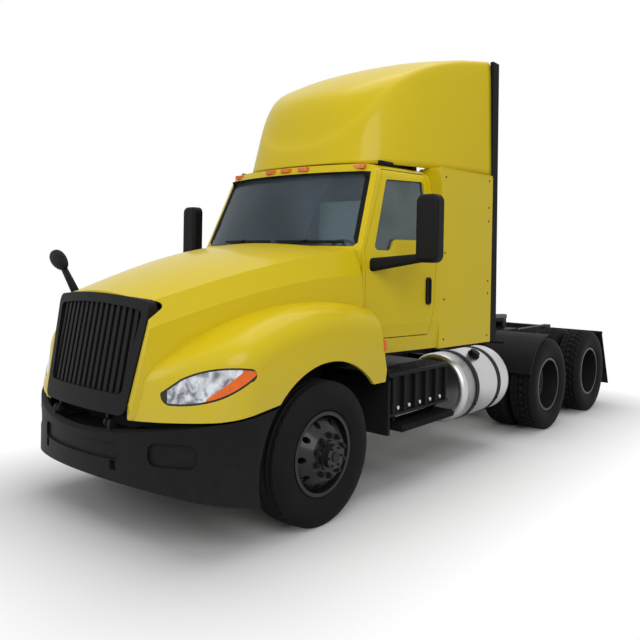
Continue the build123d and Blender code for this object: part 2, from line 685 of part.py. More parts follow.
def make_lamp_prism(grow, side):
    plane = Plane(
        origin=(LAMP_X, side * LAMP_Y, LAMP_Z),
        x_dir=(-LAMP_NORMAL.Y, side * LAMP_NORMAL.X, 0),
        z_dir=(LAMP_NORMAL.X, side * LAMP_NORMAL.Y, 0),
    )
    flip = side
    with BuildPart() as prism:
        with BuildSketch(plane):
            with BuildLine():
                ThreePointArc((-322, -58 * flip), (-310, -105 * flip), (-275, -128 * flip))
                ThreePointArc((-275, -128 * flip), (20, -82 * flip), (232, 25 * flip))
                ThreePointArc((232, 25 * flip), (268, 75 * flip), (235, 104 * flip))
                ThreePointArc((235, 104 * flip), (0, 104 * flip), (-200, 34 * flip))
                Line((-200, 34 * flip), (-322, -58 * flip))
            make_face()
            if grow:
                offset(amount=grow, kind=Kind.INTERSECTION)
        extrude(amount=400, both=True)
    return prism.part


hood_outer = make_hood_form(0, FENDER_TAIL_X)
hood_inner = make_hood_form(HOOD_WALL, FENDER_TAIL_X - 60)


def make_screen_block(lead, z_from, z_to):
    with BuildPart() as block:
        with BuildSketch(Plane.XY.offset(z_from)):
            sag = SCREEN_ARC - sqrt(SCREEN_ARC ** 2 - SCREEN_ARC_HALF ** 2)
            front = CAB_FRONT_X + lead
            with BuildLine():
                ThreePointArc((front, -SCREEN_ARC_HALF), (front + sag, 0), (front, SCREEN_ARC_HALF))
                Polyline(
                    (front, SCREEN_ARC_HALF), (front, CAB_SIDE_CLEAR), (front - 900, CAB_SIDE_CLEAR), (front - 900, -CAB_SIDE_CLEAR),
                    (front, -CAB_SIDE_CLEAR), (front, -SCREEN_ARC_HALF),
                )
            make_face()
        extrude(amount=z_to - z_from)
    return block.part


with BuildPart() as hood:
    add(hood_outer)
    add(hood_inner, mode=Mode.SUBTRACT)
    with Locations((ARCH_X, 0, ARCH_Z)):
        Cylinder(ARCH_RADIUS, 3000, rotation=(90, 0, 0), mode=Mode.SUBTRACT)
    with BuildSketch(Plane.XZ.offset(-1500)):
        with BuildLine():
            far_x = HOOD_FOOT_X + 400
            tail_x = STEER_X - 1000
            Polyline(
                (far_x, HOOD_FOOT_Z - HOOD_FOOT_SLOPE * 400), (HOOD_FOOT_X - 700, HOOD_FOOT_Z + HOOD_FOOT_SLOPE * 700),
                (tail_x, HOOD_FOOT_Z + HOOD_FOOT_SLOPE * 700), (tail_x, 300), (far_x, 300),
                (far_x, HOOD_FOOT_Z - HOOD_FOOT_SLOPE * 400),
            )
        make_face()
    extrude(amount=3000, mode=Mode.SUBTRACT)
    with BuildSketch(Plane.XZ.offset(-1500)):
        Polygon(
            (HOOD_REAR_X, 2400), (HOOD_REAR_X, FENDER_TAIL_TOP), (FENDER_TAIL_X, FENDER_TAIL_FOOT), (FENDER_TAIL_X, 700),
            (STEER_X - 1400, 700), (STEER_X - 1400, 2400), align=None,
        )
    extrude(amount=3000, mode=Mode.SUBTRACT)
    with Locations((HOOD_REAR_X - 500, 0, 1500)):
        Box(1000, 2 * CAB_SIDE_CLEAR, 3000, mode=Mode.SUBTRACT)
    add(make_screen_block(15, 800, 2400), mode=Mode.SUBTRACT)
    add(make_grille_prism(2, STEER_X + 850, STEER_X + 1500), mode=Mode.SUBTRACT)
    with Locations((STEER_X + 1200, 0, GRILLE_FOOT_Z - 100)):
        Box(700, 2 * (GRILLE_FOOT_HALF + 2), 300, mode=Mode.SUBTRACT)
    for side in SIDES:
        add(make_lamp_prism(LAMP_GAP, side), mode=Mode.SUBTRACT)
save(hood.part, "hood")


def make_lamp_piece(side):
    with BuildPart() as lamp:
        add(make_hood_form(4, FENDER_TAIL_X))
        add(make_hood_form(4 + LAMP_DEPTH, FENDER_TAIL_X - 60), mode=Mode.SUBTRACT)
        add(make_lamp_prism(LAMP_GAP - SEAT_GAP, side), mode=Mode.INTERSECT)
    return lamp.part


def make_lamp_split(side):
    plane = Plane(
        origin=(LAMP_X, side * LAMP_Y, LAMP_Z),
        x_dir=(-LAMP_NORMAL.Y, side * LAMP_NORMAL.X, 0),
        z_dir=(LAMP_NORMAL.X, side * LAMP_NORMAL.Y, 0),
    )
    flip = side
    with BuildPart() as split:
        with BuildSketch(plane):
            Polygon(
                (-80, -160 * flip), (-42, -78 * flip), (178, 84 * flip), (190, 160 * flip), (420, 160 * flip),
                (420, -200 * flip), (-80, -200 * flip), align=None,
            )
        extrude(amount=400, both=True)
    return split.part


lamp_pieces = [make_lamp_piece(side) for side in SIDES]
lamp_splits = [make_lamp_split(side) for side in SIDES]
with BuildPart() as headlamps:
    for piece, split in zip(lamp_pieces, lamp_splits):
        with BuildPart(mode=Mode.PRIVATE) as lens:
            add(piece)
            add(split, mode=Mode.SUBTRACT)
        add(lens.part)
save(headlamps.part, "headlamps")
with BuildPart() as turn_lamps:
    for piece, split in zip(lamp_pieces, lamp_splits):
        with BuildPart(mode=Mode.PRIVATE) as lens:
            add(piece)
            add(split, mode=Mode.INTERSECT)
        add(lens.part)
save(turn_lamps.part, "turn_lamps")


# Grille

def make_grille_shell(front_inset, depth):
    with BuildPart() as shell:
        add(make_nose_limit(front_inset))
        add(make_nose_limit(front_inset + depth), mode=Mode.SUBTRACT)
    return shell.part


with BuildPart() as surround:
    add(make_grille_shell(-12, GRILLE_DEPTH))
    add(make_grille_prism(0, STEER_X + 850, STEER_X + 1500), mode=Mode.INTERSECT)
    with BuildSketch(Plane.YZ.offset(STEER_X + 800)):
        with BuildLine():
            top_half = GRILLE_TOP_HALF - GRILLE_FRAME
            low_half = GRILLE_FOOT_HALF - GRILLE_FRAME + 8
            low_z = GRILLE_FOOT_Z + GRILLE_FOOT_BAND
            high_z = GRILLE_TOP_Z - GRILLE_FRAME
            Polyline((top_half, high_z), (low_half, low_z), (-low_half, low_z), (-top_half, high_z))
            ThreePointArc((-top_half, high_z), (0, high_z + 34), (top_half, high_z))
        opening = make_face()
        fillet(opening.vertices(), 40)
    extrude(amount=700, mode=Mode.SUBTRACT)
    for side in SIDES:
        with BuildSketch(Plane.XZ.offset(-side * HOOD_PIN_Y - 12)):
            with Locations((HOOD_PIVOT_X, HOOD_PIVOT_Z)):
                Circle(30)
            with Locations((HOOD_PIVOT_X - 12, HOOD_PIVOT_Z + 50)):
                Rectangle(40, 100)
            with Locations((HOOD_PIVOT_X, HOOD_PIVOT_Z)):
                Circle(HOOD_PIN_RADIUS + RUNNING_GAP, mode=Mode.SUBTRACT)
        extrude(amount=24)
save(surround.part, "grille_surround")

with BuildPart() as bars:
    pitch = 2 * (GRILLE_TOP_HALF - GRILLE_FRAME) / (GRILLE_BARS + 1)
    for index in range(GRILLE_BARS):
        bar_y = (index - (GRILLE_BARS - 1) / 2) * pitch
        with Locations((STEER_X + 1100, bar_y, (GRILLE_FOOT_Z + GRILLE_TOP_Z) / 2)):
            Box(500, BAR_WIDTH, 1200)
    add(make_grille_shell(4, 30), mode=Mode.INTERSECT)
    with BuildSketch(Plane.YZ.offset(STEER_X + 800)):
        with BuildLine():
            top_half = GRILLE_TOP_HALF - GRILLE_FRAME - SEAT_GAP
            low_half = GRILLE_FOOT_HALF - GRILLE_FRAME + 8 - SEAT_GAP
            low_z = GRILLE_FOOT_Z + GRILLE_FOOT_BAND + SEAT_GAP
            high_z = GRILLE_TOP_Z - GRILLE_FRAME - SEAT_GAP
            Polyline((top_half, high_z), (low_half, low_z), (-low_half, low_z), (-top_half, high_z))
            ThreePointArc((-top_half, high_z), (0, high_z + 34), (top_half, high_z))
        opening = make_face()
        fillet(opening.vertices(), 40)
    extrude(amount=700, mode=Mode.INTERSECT)
save(bars.part, "grille_bars")


# Bumper

HOOD_MIRROR_FOOT = (STEER_X + 950, -520, 1590)
HOOD_MIRROR_HEAD = (STEER_X + 950, -770, 1915)

with BuildPart() as hood_mirror:
    foot = Vector(*HOOD_MIRROR_FOOT)
    reach = Vector(*HOOD_MIRROR_HEAD) - foot
    with BuildSketch(Plane(origin=foot, z_dir=reach)):
        Circle(15)
    extrude(amount=reach.length)
    with BuildPart(mode=Mode.PRIVATE) as mirror_head:
        Box(110, 160, 150)
        fillet(mirror_head.edges(), 44)
    add(Pos(*HOOD_MIRROR_HEAD) * mirror_head.part)
    add(make_bonnet(-SEAT_GAP, FENDER_TAIL_X), mode=Mode.SUBTRACT)
save(hood_mirror.part, "hood_mirror")


def make_bumper_block(inset):
    back_x = STEER_X + 380
    with BuildPart() as block:
        with BuildSketch(Plane.XY.offset(BUMPER_BOTTOM)):
            with BuildLine():
                ThreePointArc(
                    (BUMPER_CORNER_X, -BUMPER_CORNER_Y), (STEER_X + FRONT_OVERHANG, 0), (BUMPER_CORNER_X, BUMPER_CORNER_Y),
                )
                ThreePointArc((BUMPER_CORNER_X, BUMPER_CORNER_Y), (STEER_X + 870, 1085), (BUMPER_SIDE_X, BUMPER_HALF))
                Polyline(
                    (BUMPER_SIDE_X, BUMPER_HALF), (back_x, BUMPER_HALF), (back_x, -BUMPER_HALF), (BUMPER_SIDE_X, -BUMPER_HALF),
                )
                ThreePointArc((BUMPER_SIDE_X, -BUMPER_HALF), (STEER_X + 870, -1085), (BUMPER_CORNER_X, -BUMPER_CORNER_Y))
            make_face()
            if inset:
                offset(amount=-inset, kind=Kind.INTERSECTION)
        extrude(amount=700)
    return block.part


BUMPER_PLATE = (0, 900, 595, 705)
FOG_PLACE = (STEER_X + 1085, 830, 662)
FOG_FACING = Vector(0.78, 0.62, 0).normalized()
FOG_WIDTH = 330
FOG_HEIGHT = 150
TOW_HOLE_Y = 413
TOW_HOLE_Z = 560

bumper_outer = make_bumper_block(0)
bumper_floor = make_bumper_block(BUMPER_RECESS)
with BuildPart() as bumper_recess:
    plate_y, plate_width, plate_low, plate_high = BUMPER_PLATE
    with BuildSketch(Plane.YZ.offset(STEER_X + 1000)):
        with Locations((plate_y, (plate_low + plate_high) / 2)):
            RectangleRounded(plate_width, plate_high - plate_low, 30)
    extrude(amount=500)
    for side in SIDES:
        fog_plane = Plane(
            origin=(FOG_PLACE[0], side * FOG_PLACE[1], FOG_PLACE[2]),
            x_dir=(-FOG_FACING.Y, side * FOG_FACING.X, 0), z_dir=(FOG_FACING.X, side * FOG_FACING.Y, 0),
        )
        with BuildSketch(fog_plane):
            RectangleRounded(FOG_WIDTH, FOG_HEIGHT, 60)
        extrude(amount=130, both=True)
    add(bumper_floor, mode=Mode.SUBTRACT)

with BuildPart() as bumper:
    add(bumper_outer)
    add(make_bumper_block(BUMPER_WALL), mode=Mode.SUBTRACT)
    with BuildPart(mode=Mode.PRIVATE) as shelf:
        add(bumper_floor)
        with Locations((STEER_X + 1180, 0, BUMPER_SHELF_Z)):
            Box(360, 2000, 12, mode=Mode.INTERSECT)
    add(shelf.part)
    for side in SIDES:
        arm_end = STEER_X + 1205
        with Locations(((RAIL_FRONT_X - 140 + arm_end) / 2, side * RAIL_MID_Y, FRAME_BOTTOM - 70)):
            Box(arm_end - RAIL_FRONT_X + 140, RAIL_FLANGE, 140)
    add(bumper_recess.part, mode=Mode.SUBTRACT)
    for side in SIDES:
        with Locations((STEER_X + 1250, side * TOW_HOLE_Y, TOW_HOLE_Z)):
            Box(260, 56, 62, mode=Mode.SUBTRACT)
    with Locations((BUMPER_REAR_X - 300, 0, 600)):
        Box(600, 3000, 2000, mode=Mode.SUBTRACT)
    with Locations((ARCH_X, 0, ARCH_Z)):
        Cylinder(ARCH_RADIUS, 3000, rotation=(90, 0, 0), mode=Mode.SUBTRACT)
    with BuildSketch(Plane.XZ.offset(-1500)):
        Polygon(
            *[(STEER_X + ahead, height) for ahead, height in BUMPER_TOP_LINE],
            (STEER_X + 440, 1400), (STEER_X + 1400, 1400), align=None,
        )
        Polygon(
            *[(STEER_X + ahead, height) for ahead, height in BUMPER_FOOT_LINE],
            (STEER_X + 440, 100), (STEER_X + 1400, 100), align=None,
        )
    extrude(amount=3000, mode=Mode.SUBTRACT)
    for side in SIDES:
        with BuildSketch(Plane.XZ.offset(-side * (HOOD_PIN_Y + 45) - 16)):
            with Locations((HOOD_PIVOT_X, HOOD_PIVOT_Z)):
                Circle(28)
            with Locations((HOOD_PIVOT_X, (HOOD_PIVOT_Z + FRAME_BOTTOM - 60) / 2)):
                Rectangle(56, HOOD_PIVOT_Z - FRAME_BOTTOM + 60)
        extrude(amount=32)
        with Locations((HOOD_PIVOT_X, side * (HOOD_PIN_Y + 12), HOOD_PIVOT_Z)):
            Cylinder(HOOD_PIN_RADIUS, 80, rotation=(90, 0, 0))
save(bumper.part, "front_bumper")


# Cab

CAB_LEAN = (CAB_HALF - CAB_ROOF_HALF) / (CAB_ROOF - CAB_BELT)


def find_skin_y(x, z):
    return CAB_HALF - CAB_TAPER * (x - CAB_BACK_X) - CAB_LEAN * max(0, z - CAB_BELT)


def make_cab_sides(inset, roof, floor, roof_radius):
    start_x = CAB_BACK_X - 200
    wide = CAB_HALF + CAB_TAPER * 200 - inset
    sill = wide - (CAB_HALF - CAB_SILL_HALF)
    high = wide - CAB_LEAN * (roof + inset - CAB_BELT)
    with BuildPart() as sides:
        for side in SIDES:
            with BuildSketch(Plane.YZ.offset(start_x)):
                with BuildLine():
                    Polyline(
                        (-side * 300, floor), (side * sill, floor), (side * wide, CAB_FLOOR + 240), (side * wide, CAB_BELT),
                        (side * high, roof), (-side * 300, roof), (-side * 300, floor),
                    )
                half_view = make_face()
                if roof_radius:
                    tops = half_view.vertices().group_by(Axis.Y)[-1].sort_by(Axis.X)
                    fillet(tops[-1] if side > 0 else tops[0], roof_radius)
            extrude(amount=2600, dir=(1, -side * CAB_TAPER, 0))
    return sides.part


def make_cab_form(inset):
    with BuildPart() as form:
        with BuildSketch(Plane.XY.offset(CAB_FLOOR + inset)):
            sag = SCREEN_ARC - sqrt(SCREEN_ARC ** 2 - SCREEN_ARC_HALF ** 2)
            front = CAB_FRONT_X - inset
            with BuildLine():
                ThreePointArc((front, -SCREEN_ARC_HALF), (front + sag, 0), (front, SCREEN_ARC_HALF))
                Polyline(
                    (front, SCREEN_ARC_HALF), (front, 1400), (CAB_BACK_X + inset, 1400), (CAB_BACK_X + inset, -1400),
                    (front, -1400), (front, -SCREEN_ARC_HALF),
                )
            make_face()
        extrude(amount=SCREEN_BASE_Z - CAB_FLOOR - inset)
        with BuildSketch(Plane.XY.offset(SCREEN_BASE_Z)):
            with BuildLine():
                ThreePointArc((front, -SCREEN_ARC_HALF), (front + sag, 0), (front, SCREEN_ARC_HALF))
                Polyline(
                    (front, SCREEN_ARC_HALF), (front, 1400), (CAB_BACK_X + 600, 1400), (CAB_BACK_X + 600, -1400),
                    (front, -1400), (front, -SCREEN_ARC_HALF),
                )
            make_face()
        extrude(amount=1000, dir=(-SCREEN_RAKE, 0, 1))
        with Locations(((CAB_BACK_X + inset + CAB_FRONT_X - 300) / 2, 0, (SCREEN_BASE_Z + CAB_ROOF) / 2)):
            Box(CAB_FRONT_X - 300 - CAB_BACK_X - inset, 2800, CAB_ROOF - SCREEN_BASE_Z)
        with Locations((CAB_BACK_X + inset - 1000, 0, 2000)):
            Box(2000, 3000, 4000, mode=Mode.SUBTRACT)
        add(make_cab_sides(inset, CAB_ROOF - inset, CAB_FLOOR + inset, CAB_ROOF_RADIUS - inset), mode=Mode.INTERSECT)
    return form.part


def make_side_core(inset):
    return make_cab_sides(inset, CAB_ROOF + 400, CAB_FLOOR, 0)


def make_door_volume(grow, side):
    with BuildPart() as volume:
        add(make_door_prism(grow, side))
        add(make_side_core(CAB_WALL + grow), mode=Mode.SUBTRACT)
    return volume.part


def make_screen_prism(grow):
    with BuildPart() as prism:
        with BuildSketch(Plane.YZ.offset(STEER_X - 1250)):
            outline = Polygon(
                (SCREEN_LOW_HALF + grow, SCREEN_LOW_Z - grow), (SCREEN_HIGH_HALF + grow, SCREEN_HIGH_Z + grow),
                (-SCREEN_HIGH_HALF - grow, SCREEN_HIGH_Z + grow), (-SCREEN_LOW_HALF - grow, SCREEN_LOW_Z - grow), align=None,
            )
            chamfer(outline.vertices(), 32)
        extrude(amount=1200)
    return prism.part


def make_back_window_prism(grow):
    with BuildPart() as prism:
        with BuildSketch(Plane.YZ.offset(CAB_BACK_X - 100)):
            with Locations((0, (BACK_WINDOW_LOW + BACK_WINDOW_HIGH) / 2)):
                RectangleRounded(2 * (BACK_WINDOW_HALF + grow), BACK_WINDOW_HIGH - BACK_WINDOW_LOW + 2 * grow, 60)
        extrude(amount=300)
    return prism.part


def make_door_prism(grow, side):
    outer_y = 1160
    rake_foot = SCREEN_BASE_Z - 20
    top_front_x = DOOR_FRONT_X - SCREEN_RAKE * (DOOR_TOP - rake_foot)
    corners = (
        (DOOR_FRONT_X, DOOR_BOTTOM), (DOOR_FRONT_X, rake_foot), (top_front_x, DOOR_TOP), (DOOR_REAR_X - 15, DOOR_TOP),
        (DOOR_REAR_X, 1500), (DOOR_REAR_X + 60, DOOR_BOTTOM),
    )
    with BuildPart() as prism:
        with BuildSketch(Plane.XZ.offset(-side * outer_y)):
            with BuildLine():
                Polyline(*[(x - DOOR_SHEAR * (outer_y - find_skin_y(x, z)), z) for x, z in corners], close=True)
            make_face()
            if grow:
                offset(amount=grow, kind=Kind.INTERSECTION)
        extrude(amount=480, dir=(DOOR_SHEAR, -side, 0))
    return prism.part


DOOR_WINDOW = (
    # distance behind the front axle, height
    (760, 1985), (1000, 2590), (1470, 2605), (1462, 2085), (1010, 2078), (950, 1985),
)


def make_door_window_prism(grow, side):
    with BuildPart() as prism:
        with BuildSketch(Plane.XZ.offset(-side * 1160)):
            with BuildLine():
                Polyline(*[(STEER_X - back - 30, height) for back, height in DOOR_WINDOW], close=True)
            outline = make_face()
            fillet(outline.vertices(), 34)
            if grow:
                offset(amount=grow, kind=Kind.INTERSECTION)
        extrude(amount=480, dir=(0, -side, 0))
    return prism.part


cab_outer = make_cab_form(0)
cab_inner = make_cab_form(CAB_WALL)
with BuildPart() as cab_skin:
    add(cab_outer)
    add(cab_inner, mode=Mode.SUBTRACT)
pane_outer = make_cab_form(GLASS_INSET)
pane_inner = make_cab_form(GLASS_INSET + GLASS_THICK)


def make_pane(prism):
    with BuildPart() as pane:
        add(pane_outer)
        add(prism, mode=Mode.INTERSECT)
        add(pane_inner, mode=Mode.SUBTRACT)
    return pane.part


HINGE_Y = find_skin_y(DOOR_FRONT_X, CAB_BELT)


def make_hinge_barrels(grow, side):
    with BuildPart() as barrels:
        for barrel_z in HINGE_Z:
            with Locations((DOOR_FRONT_X, side * HINGE_Y, barrel_z)):
                Cylinder(HINGE_RADIUS + grow, HINGE_LENGTH + 2 * grow)
    return barrels.part


with BuildPart() as cab_shell:
    add(cab_skin.part)
    add(make_screen_prism(0), mode=Mode.SUBTRACT)
    add(make_back_window_prism(0), mode=Mode.SUBTRACT)
    for side in SIDES:
        add(make_door_volume(DOOR_GAP, side), mode=Mode.SUBTRACT)
        add(make_hinge_barrels(RUNNING_GAP, side), mode=Mode.SUBTRACT)
save(cab_shell.part, "cab_shell")

with BuildPart() as cab_glass:
    add(make_pane(make_screen_prism(-SEAT_GAP)))
    add(make_pane(make_back_window_prism(-SEAT_GAP)))
save(cab_glass.part, "cab_glass")


def make_mirror(side):
    foot_y = find_skin_y(MIRROR_FOOT_X, MIRROR_FOOT_Z)
    with BuildPart() as mirror_part:
        with BuildSketch(Plane.YZ.offset(MIRROR_X - MIRROR_DEPTH / 2)):
            with Locations((side * MIRROR_Y, (MIRROR_LOW + MIRROR_HIGH) / 2)):
                RectangleRounded(MIRROR_WIDTH, MIRROR_HIGH - MIRROR_LOW, 62)
        extrude(amount=MIRROR_DEPTH)
        front_edges = mirror_part.edges().group_by(Axis.X)[-1]
        fillet(front_edges, 40)
        with BuildSketch(Plane.XZ.offset(-side * (foot_y - 30))):
            with Locations((MIRROR_FOOT_X, MIRROR_FOOT_Z)):
                RectangleRounded(90, 112, 34)
        with BuildSketch(Plane.XZ.offset(-side * (MIRROR_Y - 20))):
            with Locations((MIRROR_X, MIRROR_LOW + 42)):
                RectangleRounded(62, 66, 24)
        loft()
        add(make_cab_sides(-SEAT_GAP, CAB_ROOF + 400, CAB_FLOOR, 0), mode=Mode.SUBTRACT)
    return mirror_part.part


def make_handle(side):
    skin = find_skin_y(HANDLE_X, HANDLE_Z)
    plane = Plane(
        origin=(HANDLE_X, side * (skin + SEAT_GAP), HANDLE_Z), x_dir=(0, 0, 1), z_dir=(CAB_TAPER, side, 0),
    )
    with BuildPart() as handle:
        with BuildSketch(plane):
            SlotOverall(HANDLE_LENGTH, HANDLE_WIDTH)
        extrude(amount=16)
        with BuildSketch(plane.offset(16)):
            SlotOverall(HANDLE_LENGTH - 34, HANDLE_WIDTH - 30)
        extrude(amount=-8, mode=Mode.SUBTRACT)
    return handle.part


for side_name, side in SIDE_NAMES:
    with BuildPart() as door:
        add(cab_skin.part)
        add(make_door_volume(0, side), mode=Mode.INTERSECT)
        add(make_door_window_prism(0, side), mode=Mode.SUBTRACT)
        add(make_hinge_barrels(0, side))
    save(door.part, "door_" + side_name)
    save(make_pane(make_door_window_prism(-SEAT_GAP, side)), "door_glass_" + side_name)
    with BuildPart() as fittings:
        add(make_mirror(side))
        add(make_handle(side))
    save(fittings.part, "door_mirror_" + side_name)


CAB_MOUNT_X = (STEER_X - 780, STEER_X - 1480)
with BuildPart() as cab_mounts:
    for mount_x in CAB_MOUNT_X:
        for side in SIDES:
            with Locations((mount_x, side * RAIL_MID_Y, (FRAME_TOP + CAB_FLOOR) / 2)):
                Box(120, RAIL_FLANGE, CAB_FLOOR - FRAME_TOP)
save(cab_mounts.part, "cab_mounts")


# Inside the cab

FLOOR_TOP = CAB_FLOOR + CAB_WALL
DASH_FRONT_X = CAB_FRONT_X - CAB_WALL
with BuildPart() as dashboard:
    with Locations((DASH_FRONT_X - 125, 0, (FLOOR_TOP + 1960) / 2)):
        Box(240, 1740, 1960 - FLOOR_TOP)
    with Locations((DASH_FRONT_X - 280, 0, 1500)):
        Box(300, 1960, 700, mode=Mode.SUBTRACT)
save(dashboard.part, "dashboard")

with BuildPart() as seats:
    for side in SIDES:
        seat_x = CAB_BACK_X + 340
        with Locations((seat_x, side * 540, (FLOOR_TOP + 1560) / 2)):
            Box(360, 340, 1560 - FLOOR_TOP)
        with Locations((seat_x, side * 540, 1600)):
            Box(480, 500, 140)
        with Locations((seat_x - 210, side * 540, 1960)):
            Box(110, 480, 700)
save(seats.part, "seats")

WHEEL_TILT = 35
with BuildPart() as steering_wheel:
    with Locations(Location((DASH_FRONT_X - 330, 540, 1900), (0, -90 + WHEEL_TILT, 0))):
        Torus(205, 15)
        Cylinder(45, 40)
        Box(400, 30, 14)
    with Locations(Location((DASH_FRONT_X - 262, 540, 1852), (0, -90 + WHEEL_TILT, 0))):
        Cylinder(28, 150)
    add(dashboard.part, mode=Mode.SUBTRACT)
save(steering_wheel.part, "steering_wheel")


# Roof fairing, extenders, marker lamps

FAIRING_TOP = 3900
FAIRING_PLANS = (
    # height, nose behind the front axle, nose corner, nose half, shoulder, shoulder half, rear half
    (FAIRING_BASE, 840, 930, 560, 1300, 890, 1160),
    (FAIRING_TOP + 150, 1140, 1250, 500, 1640, 790, 1105),
)
FAIRING_CAP = ((800, 3215), (1500, 3700), (2440, 3985))
FAIRING_CROWN = 130
WING_PROUD = 32
WING_LINE = ((845, 2885), (930, 3010), (1130, 3370), (1500, 3648), (2440, 3895))


def make_fairing_plan(grow):
    with BuildPart() as form:
        for height, nose, corner, corner_half, shoulder, shoulder_half, rear_half in FAIRING_PLANS:
            with BuildSketch(Plane.XY.offset(height)):
                with BuildLine():
                    ThreePointArc(
                        (STEER_X - corner + grow, -corner_half - grow / 2), (STEER_X - nose + grow, 0),
                        (STEER_X - corner + grow, corner_half + grow / 2),
                    )
                    Polyline(
                        (STEER_X - corner + grow, corner_half + grow / 2), (STEER_X - shoulder + grow / 2, shoulder_half + grow),
                        (FAIRING_REAR_X, rear_half + grow), (FAIRING_REAR_X, -rear_half - grow),
                        (STEER_X - shoulder + grow / 2, -shoulder_half - grow), (STEER_X - corner + grow, -corner_half - grow / 2),
                    )
                outline = make_face()
                rows = outline.vertices().group_by(Axis.X)
                fillet(rows[-1], 200)
        loft(ruled=True)
    return form.part


def make_fairing_cap(inset, rear_extra):
    wide = 1400
    with BuildPart() as cap:
        for index, (back, crown) in enumerate(FAIRING_CAP):
            shift = rear_extra if index == len(FAIRING_CAP) - 1 else 0
            with BuildSketch(Plane.YZ.offset(STEER_X - back - shift)):
                with BuildLine():
                    Polyline(
                        (-wide, crown - inset - FAIRING_CROWN), (-wide, FAIRING_BASE - 40), (wide, FAIRING_BASE - 40),
                        (wide, crown - inset - FAIRING_CROWN),
                    )
                    ThreePointArc(
                        (wide, crown - inset - FAIRING_CROWN), (0, crown - inset), (-wide, crown - inset - FAIRING_CROWN),
                    )
                make_face()
        loft()
    return cap.part


with BuildPart() as fairing_main:
    add(make_fairing_plan(0))
    add(make_fairing_cap(0, 0), mode=Mode.INTERSECT)
    crest = [edge for edge in fairing_main.edges() if edge.center().Z > 3000 and edge.center().X > FAIRING_REAR_X + 5]
    crest = [edge for edge in crest if abs(edge.tangent_at(0.5).Z) < 0.8]
    fillet(crest, 90)

with BuildPart() as fairing_wing:
    add(make_fairing_plan(WING_PROUD))
    with BuildSketch(Plane.XZ.offset(-1500)):
        points = [(STEER_X - back, height) for back, height in WING_LINE]
        with BuildLine():
            Polyline((STEER_X - 700, FAIRING_BASE - 40), (STEER_X - 700, points[0][1]), points[0], points[1])
            ThreePointArc(points[1], points[2], points[3])
            Polyline(points[3], points[4], (FAIRING_REAR_X, FAIRING_BASE - 40), (STEER_X - 700, FAIRING_BASE - 40))
        make_face()
    extrude(amount=3000, mode=Mode.INTERSECT)

with BuildPart() as fairing:
    add(fairing_main.part)
    add(fairing_wing.part)
    with BuildPart(mode=Mode.PRIVATE) as hollow:
        add(make_fairing_plan(-FAIRING_WALL))
        add(make_fairing_cap(FAIRING_WALL + 30, 40), mode=Mode.INTERSECT)
    add(Pos(0, 0, -1) * hollow.part, mode=Mode.SUBTRACT)
    for beam_back, beam_half in ((1170, 760), (1500, 900)):
        with Locations((STEER_X - beam_back, 0, CAB_ROOF + 40)):
            Box(60, 2 * beam_half, 80)
    add(cab_outer, mode=Mode.SUBTRACT)
save(fairing.part, "roof_fairing")

with BuildPart() as extenders:
    for side in SIDES:
        with BuildSketch(Plane.XY.offset(EXTENDER_BOTTOM)):
            Polygon(
                (CAB_BACK_X, side * EXTENDER_FRONT_HALF), (EXTENDER_REAR_X, side * EXTENDER_REAR_HALF),
                (EXTENDER_REAR_X, side * (EXTENDER_REAR_HALF - EXTENDER_THICK)),
                (CAB_BACK_X, side * (EXTENDER_FRONT_HALF - EXTENDER_THICK)), align=None,
            )
        extrude(amount=EXTENDER_TOP - EXTENDER_BOTTOM)
save(extenders.part, "side_extenders")

with BuildPart() as edges:
    for side in SIDES:
        with Locations((EXTENDER_REAR_X - EXTENDER_EDGE / 2, side * (EXTENDER_REAR_HALF - EXTENDER_THICK / 2), (EXTENDER_BOTTOM + EDGE_TOP) / 2)):
            Box(EXTENDER_EDGE, EXTENDER_THICK, EDGE_TOP - EXTENDER_BOTTOM)
save(edges.part, "extender_edges")

MARKERS = (0, 200, -200, 740, -740)
MARKER_Z = 2694
with BuildPart() as markers:
    for marker_y in MARKERS:
        bow = sqrt(SCREEN_ARC ** 2 - marker_y ** 2) - sqrt(SCREEN_ARC ** 2 - SCREEN_ARC_HALF ** 2)
        marker_x = CAB_FRONT_X - SCREEN_RAKE * (MARKER_Z - SCREEN_BASE_Z) + bow
        with Locations((marker_x, marker_y, MARKER_Z)):
            Box(40, 110, 34)
    add(make_cab_form(-SEAT_GAP), mode=Mode.SUBTRACT)
save(markers.part, "roof_markers")


# Tanks, steps and rear pieces

with BuildPart() as tanks:
    for side in SIDES:
        with Locations(((TANK_FRONT_X + TANK_REAR_X) / 2, side * TANK_Y, TANK_Z)):
            Cylinder(TANK_RADIUS, TANK_FRONT_X - TANK_REAR_X, rotation=(0, 90, 0))
save(tanks.part, "fuel_tanks")

with BuildPart() as straps:
    for side in SIDES:
        for strap_x in STRAP_X:
            with Locations((strap_x, side * (RAIL_FACE_Y + 110), TANK_Z + 60)):
                Box(STRAP_WIDTH, 220, 420)
            with Locations((strap_x, side * TANK_Y, TANK_Z)):
                Cylinder(TANK_RADIUS + SEAT_GAP + STRAP_THICK, STRAP_WIDTH, rotation=(0, 90, 0))
                Cylinder(TANK_RADIUS + SEAT_GAP, STRAP_WIDTH, rotation=(0, 90, 0), mode=Mode.SUBTRACT)
save(straps.part, "tank_straps")

with BuildPart() as boxes:
    for side in SIDES:
        with Locations(((BOX_FRONT_X + BOX_REAR_X) / 2, side * (RAIL_FACE_Y + BOX_FACE_Y) / 2, (BOX_TOP + BOX_BOTTOM) / 2)):
            Box(BOX_FRONT_X - BOX_REAR_X, BOX_FACE_Y - RAIL_FACE_Y, BOX_TOP - BOX_BOTTOM)
save(boxes.part, "step_boxes")

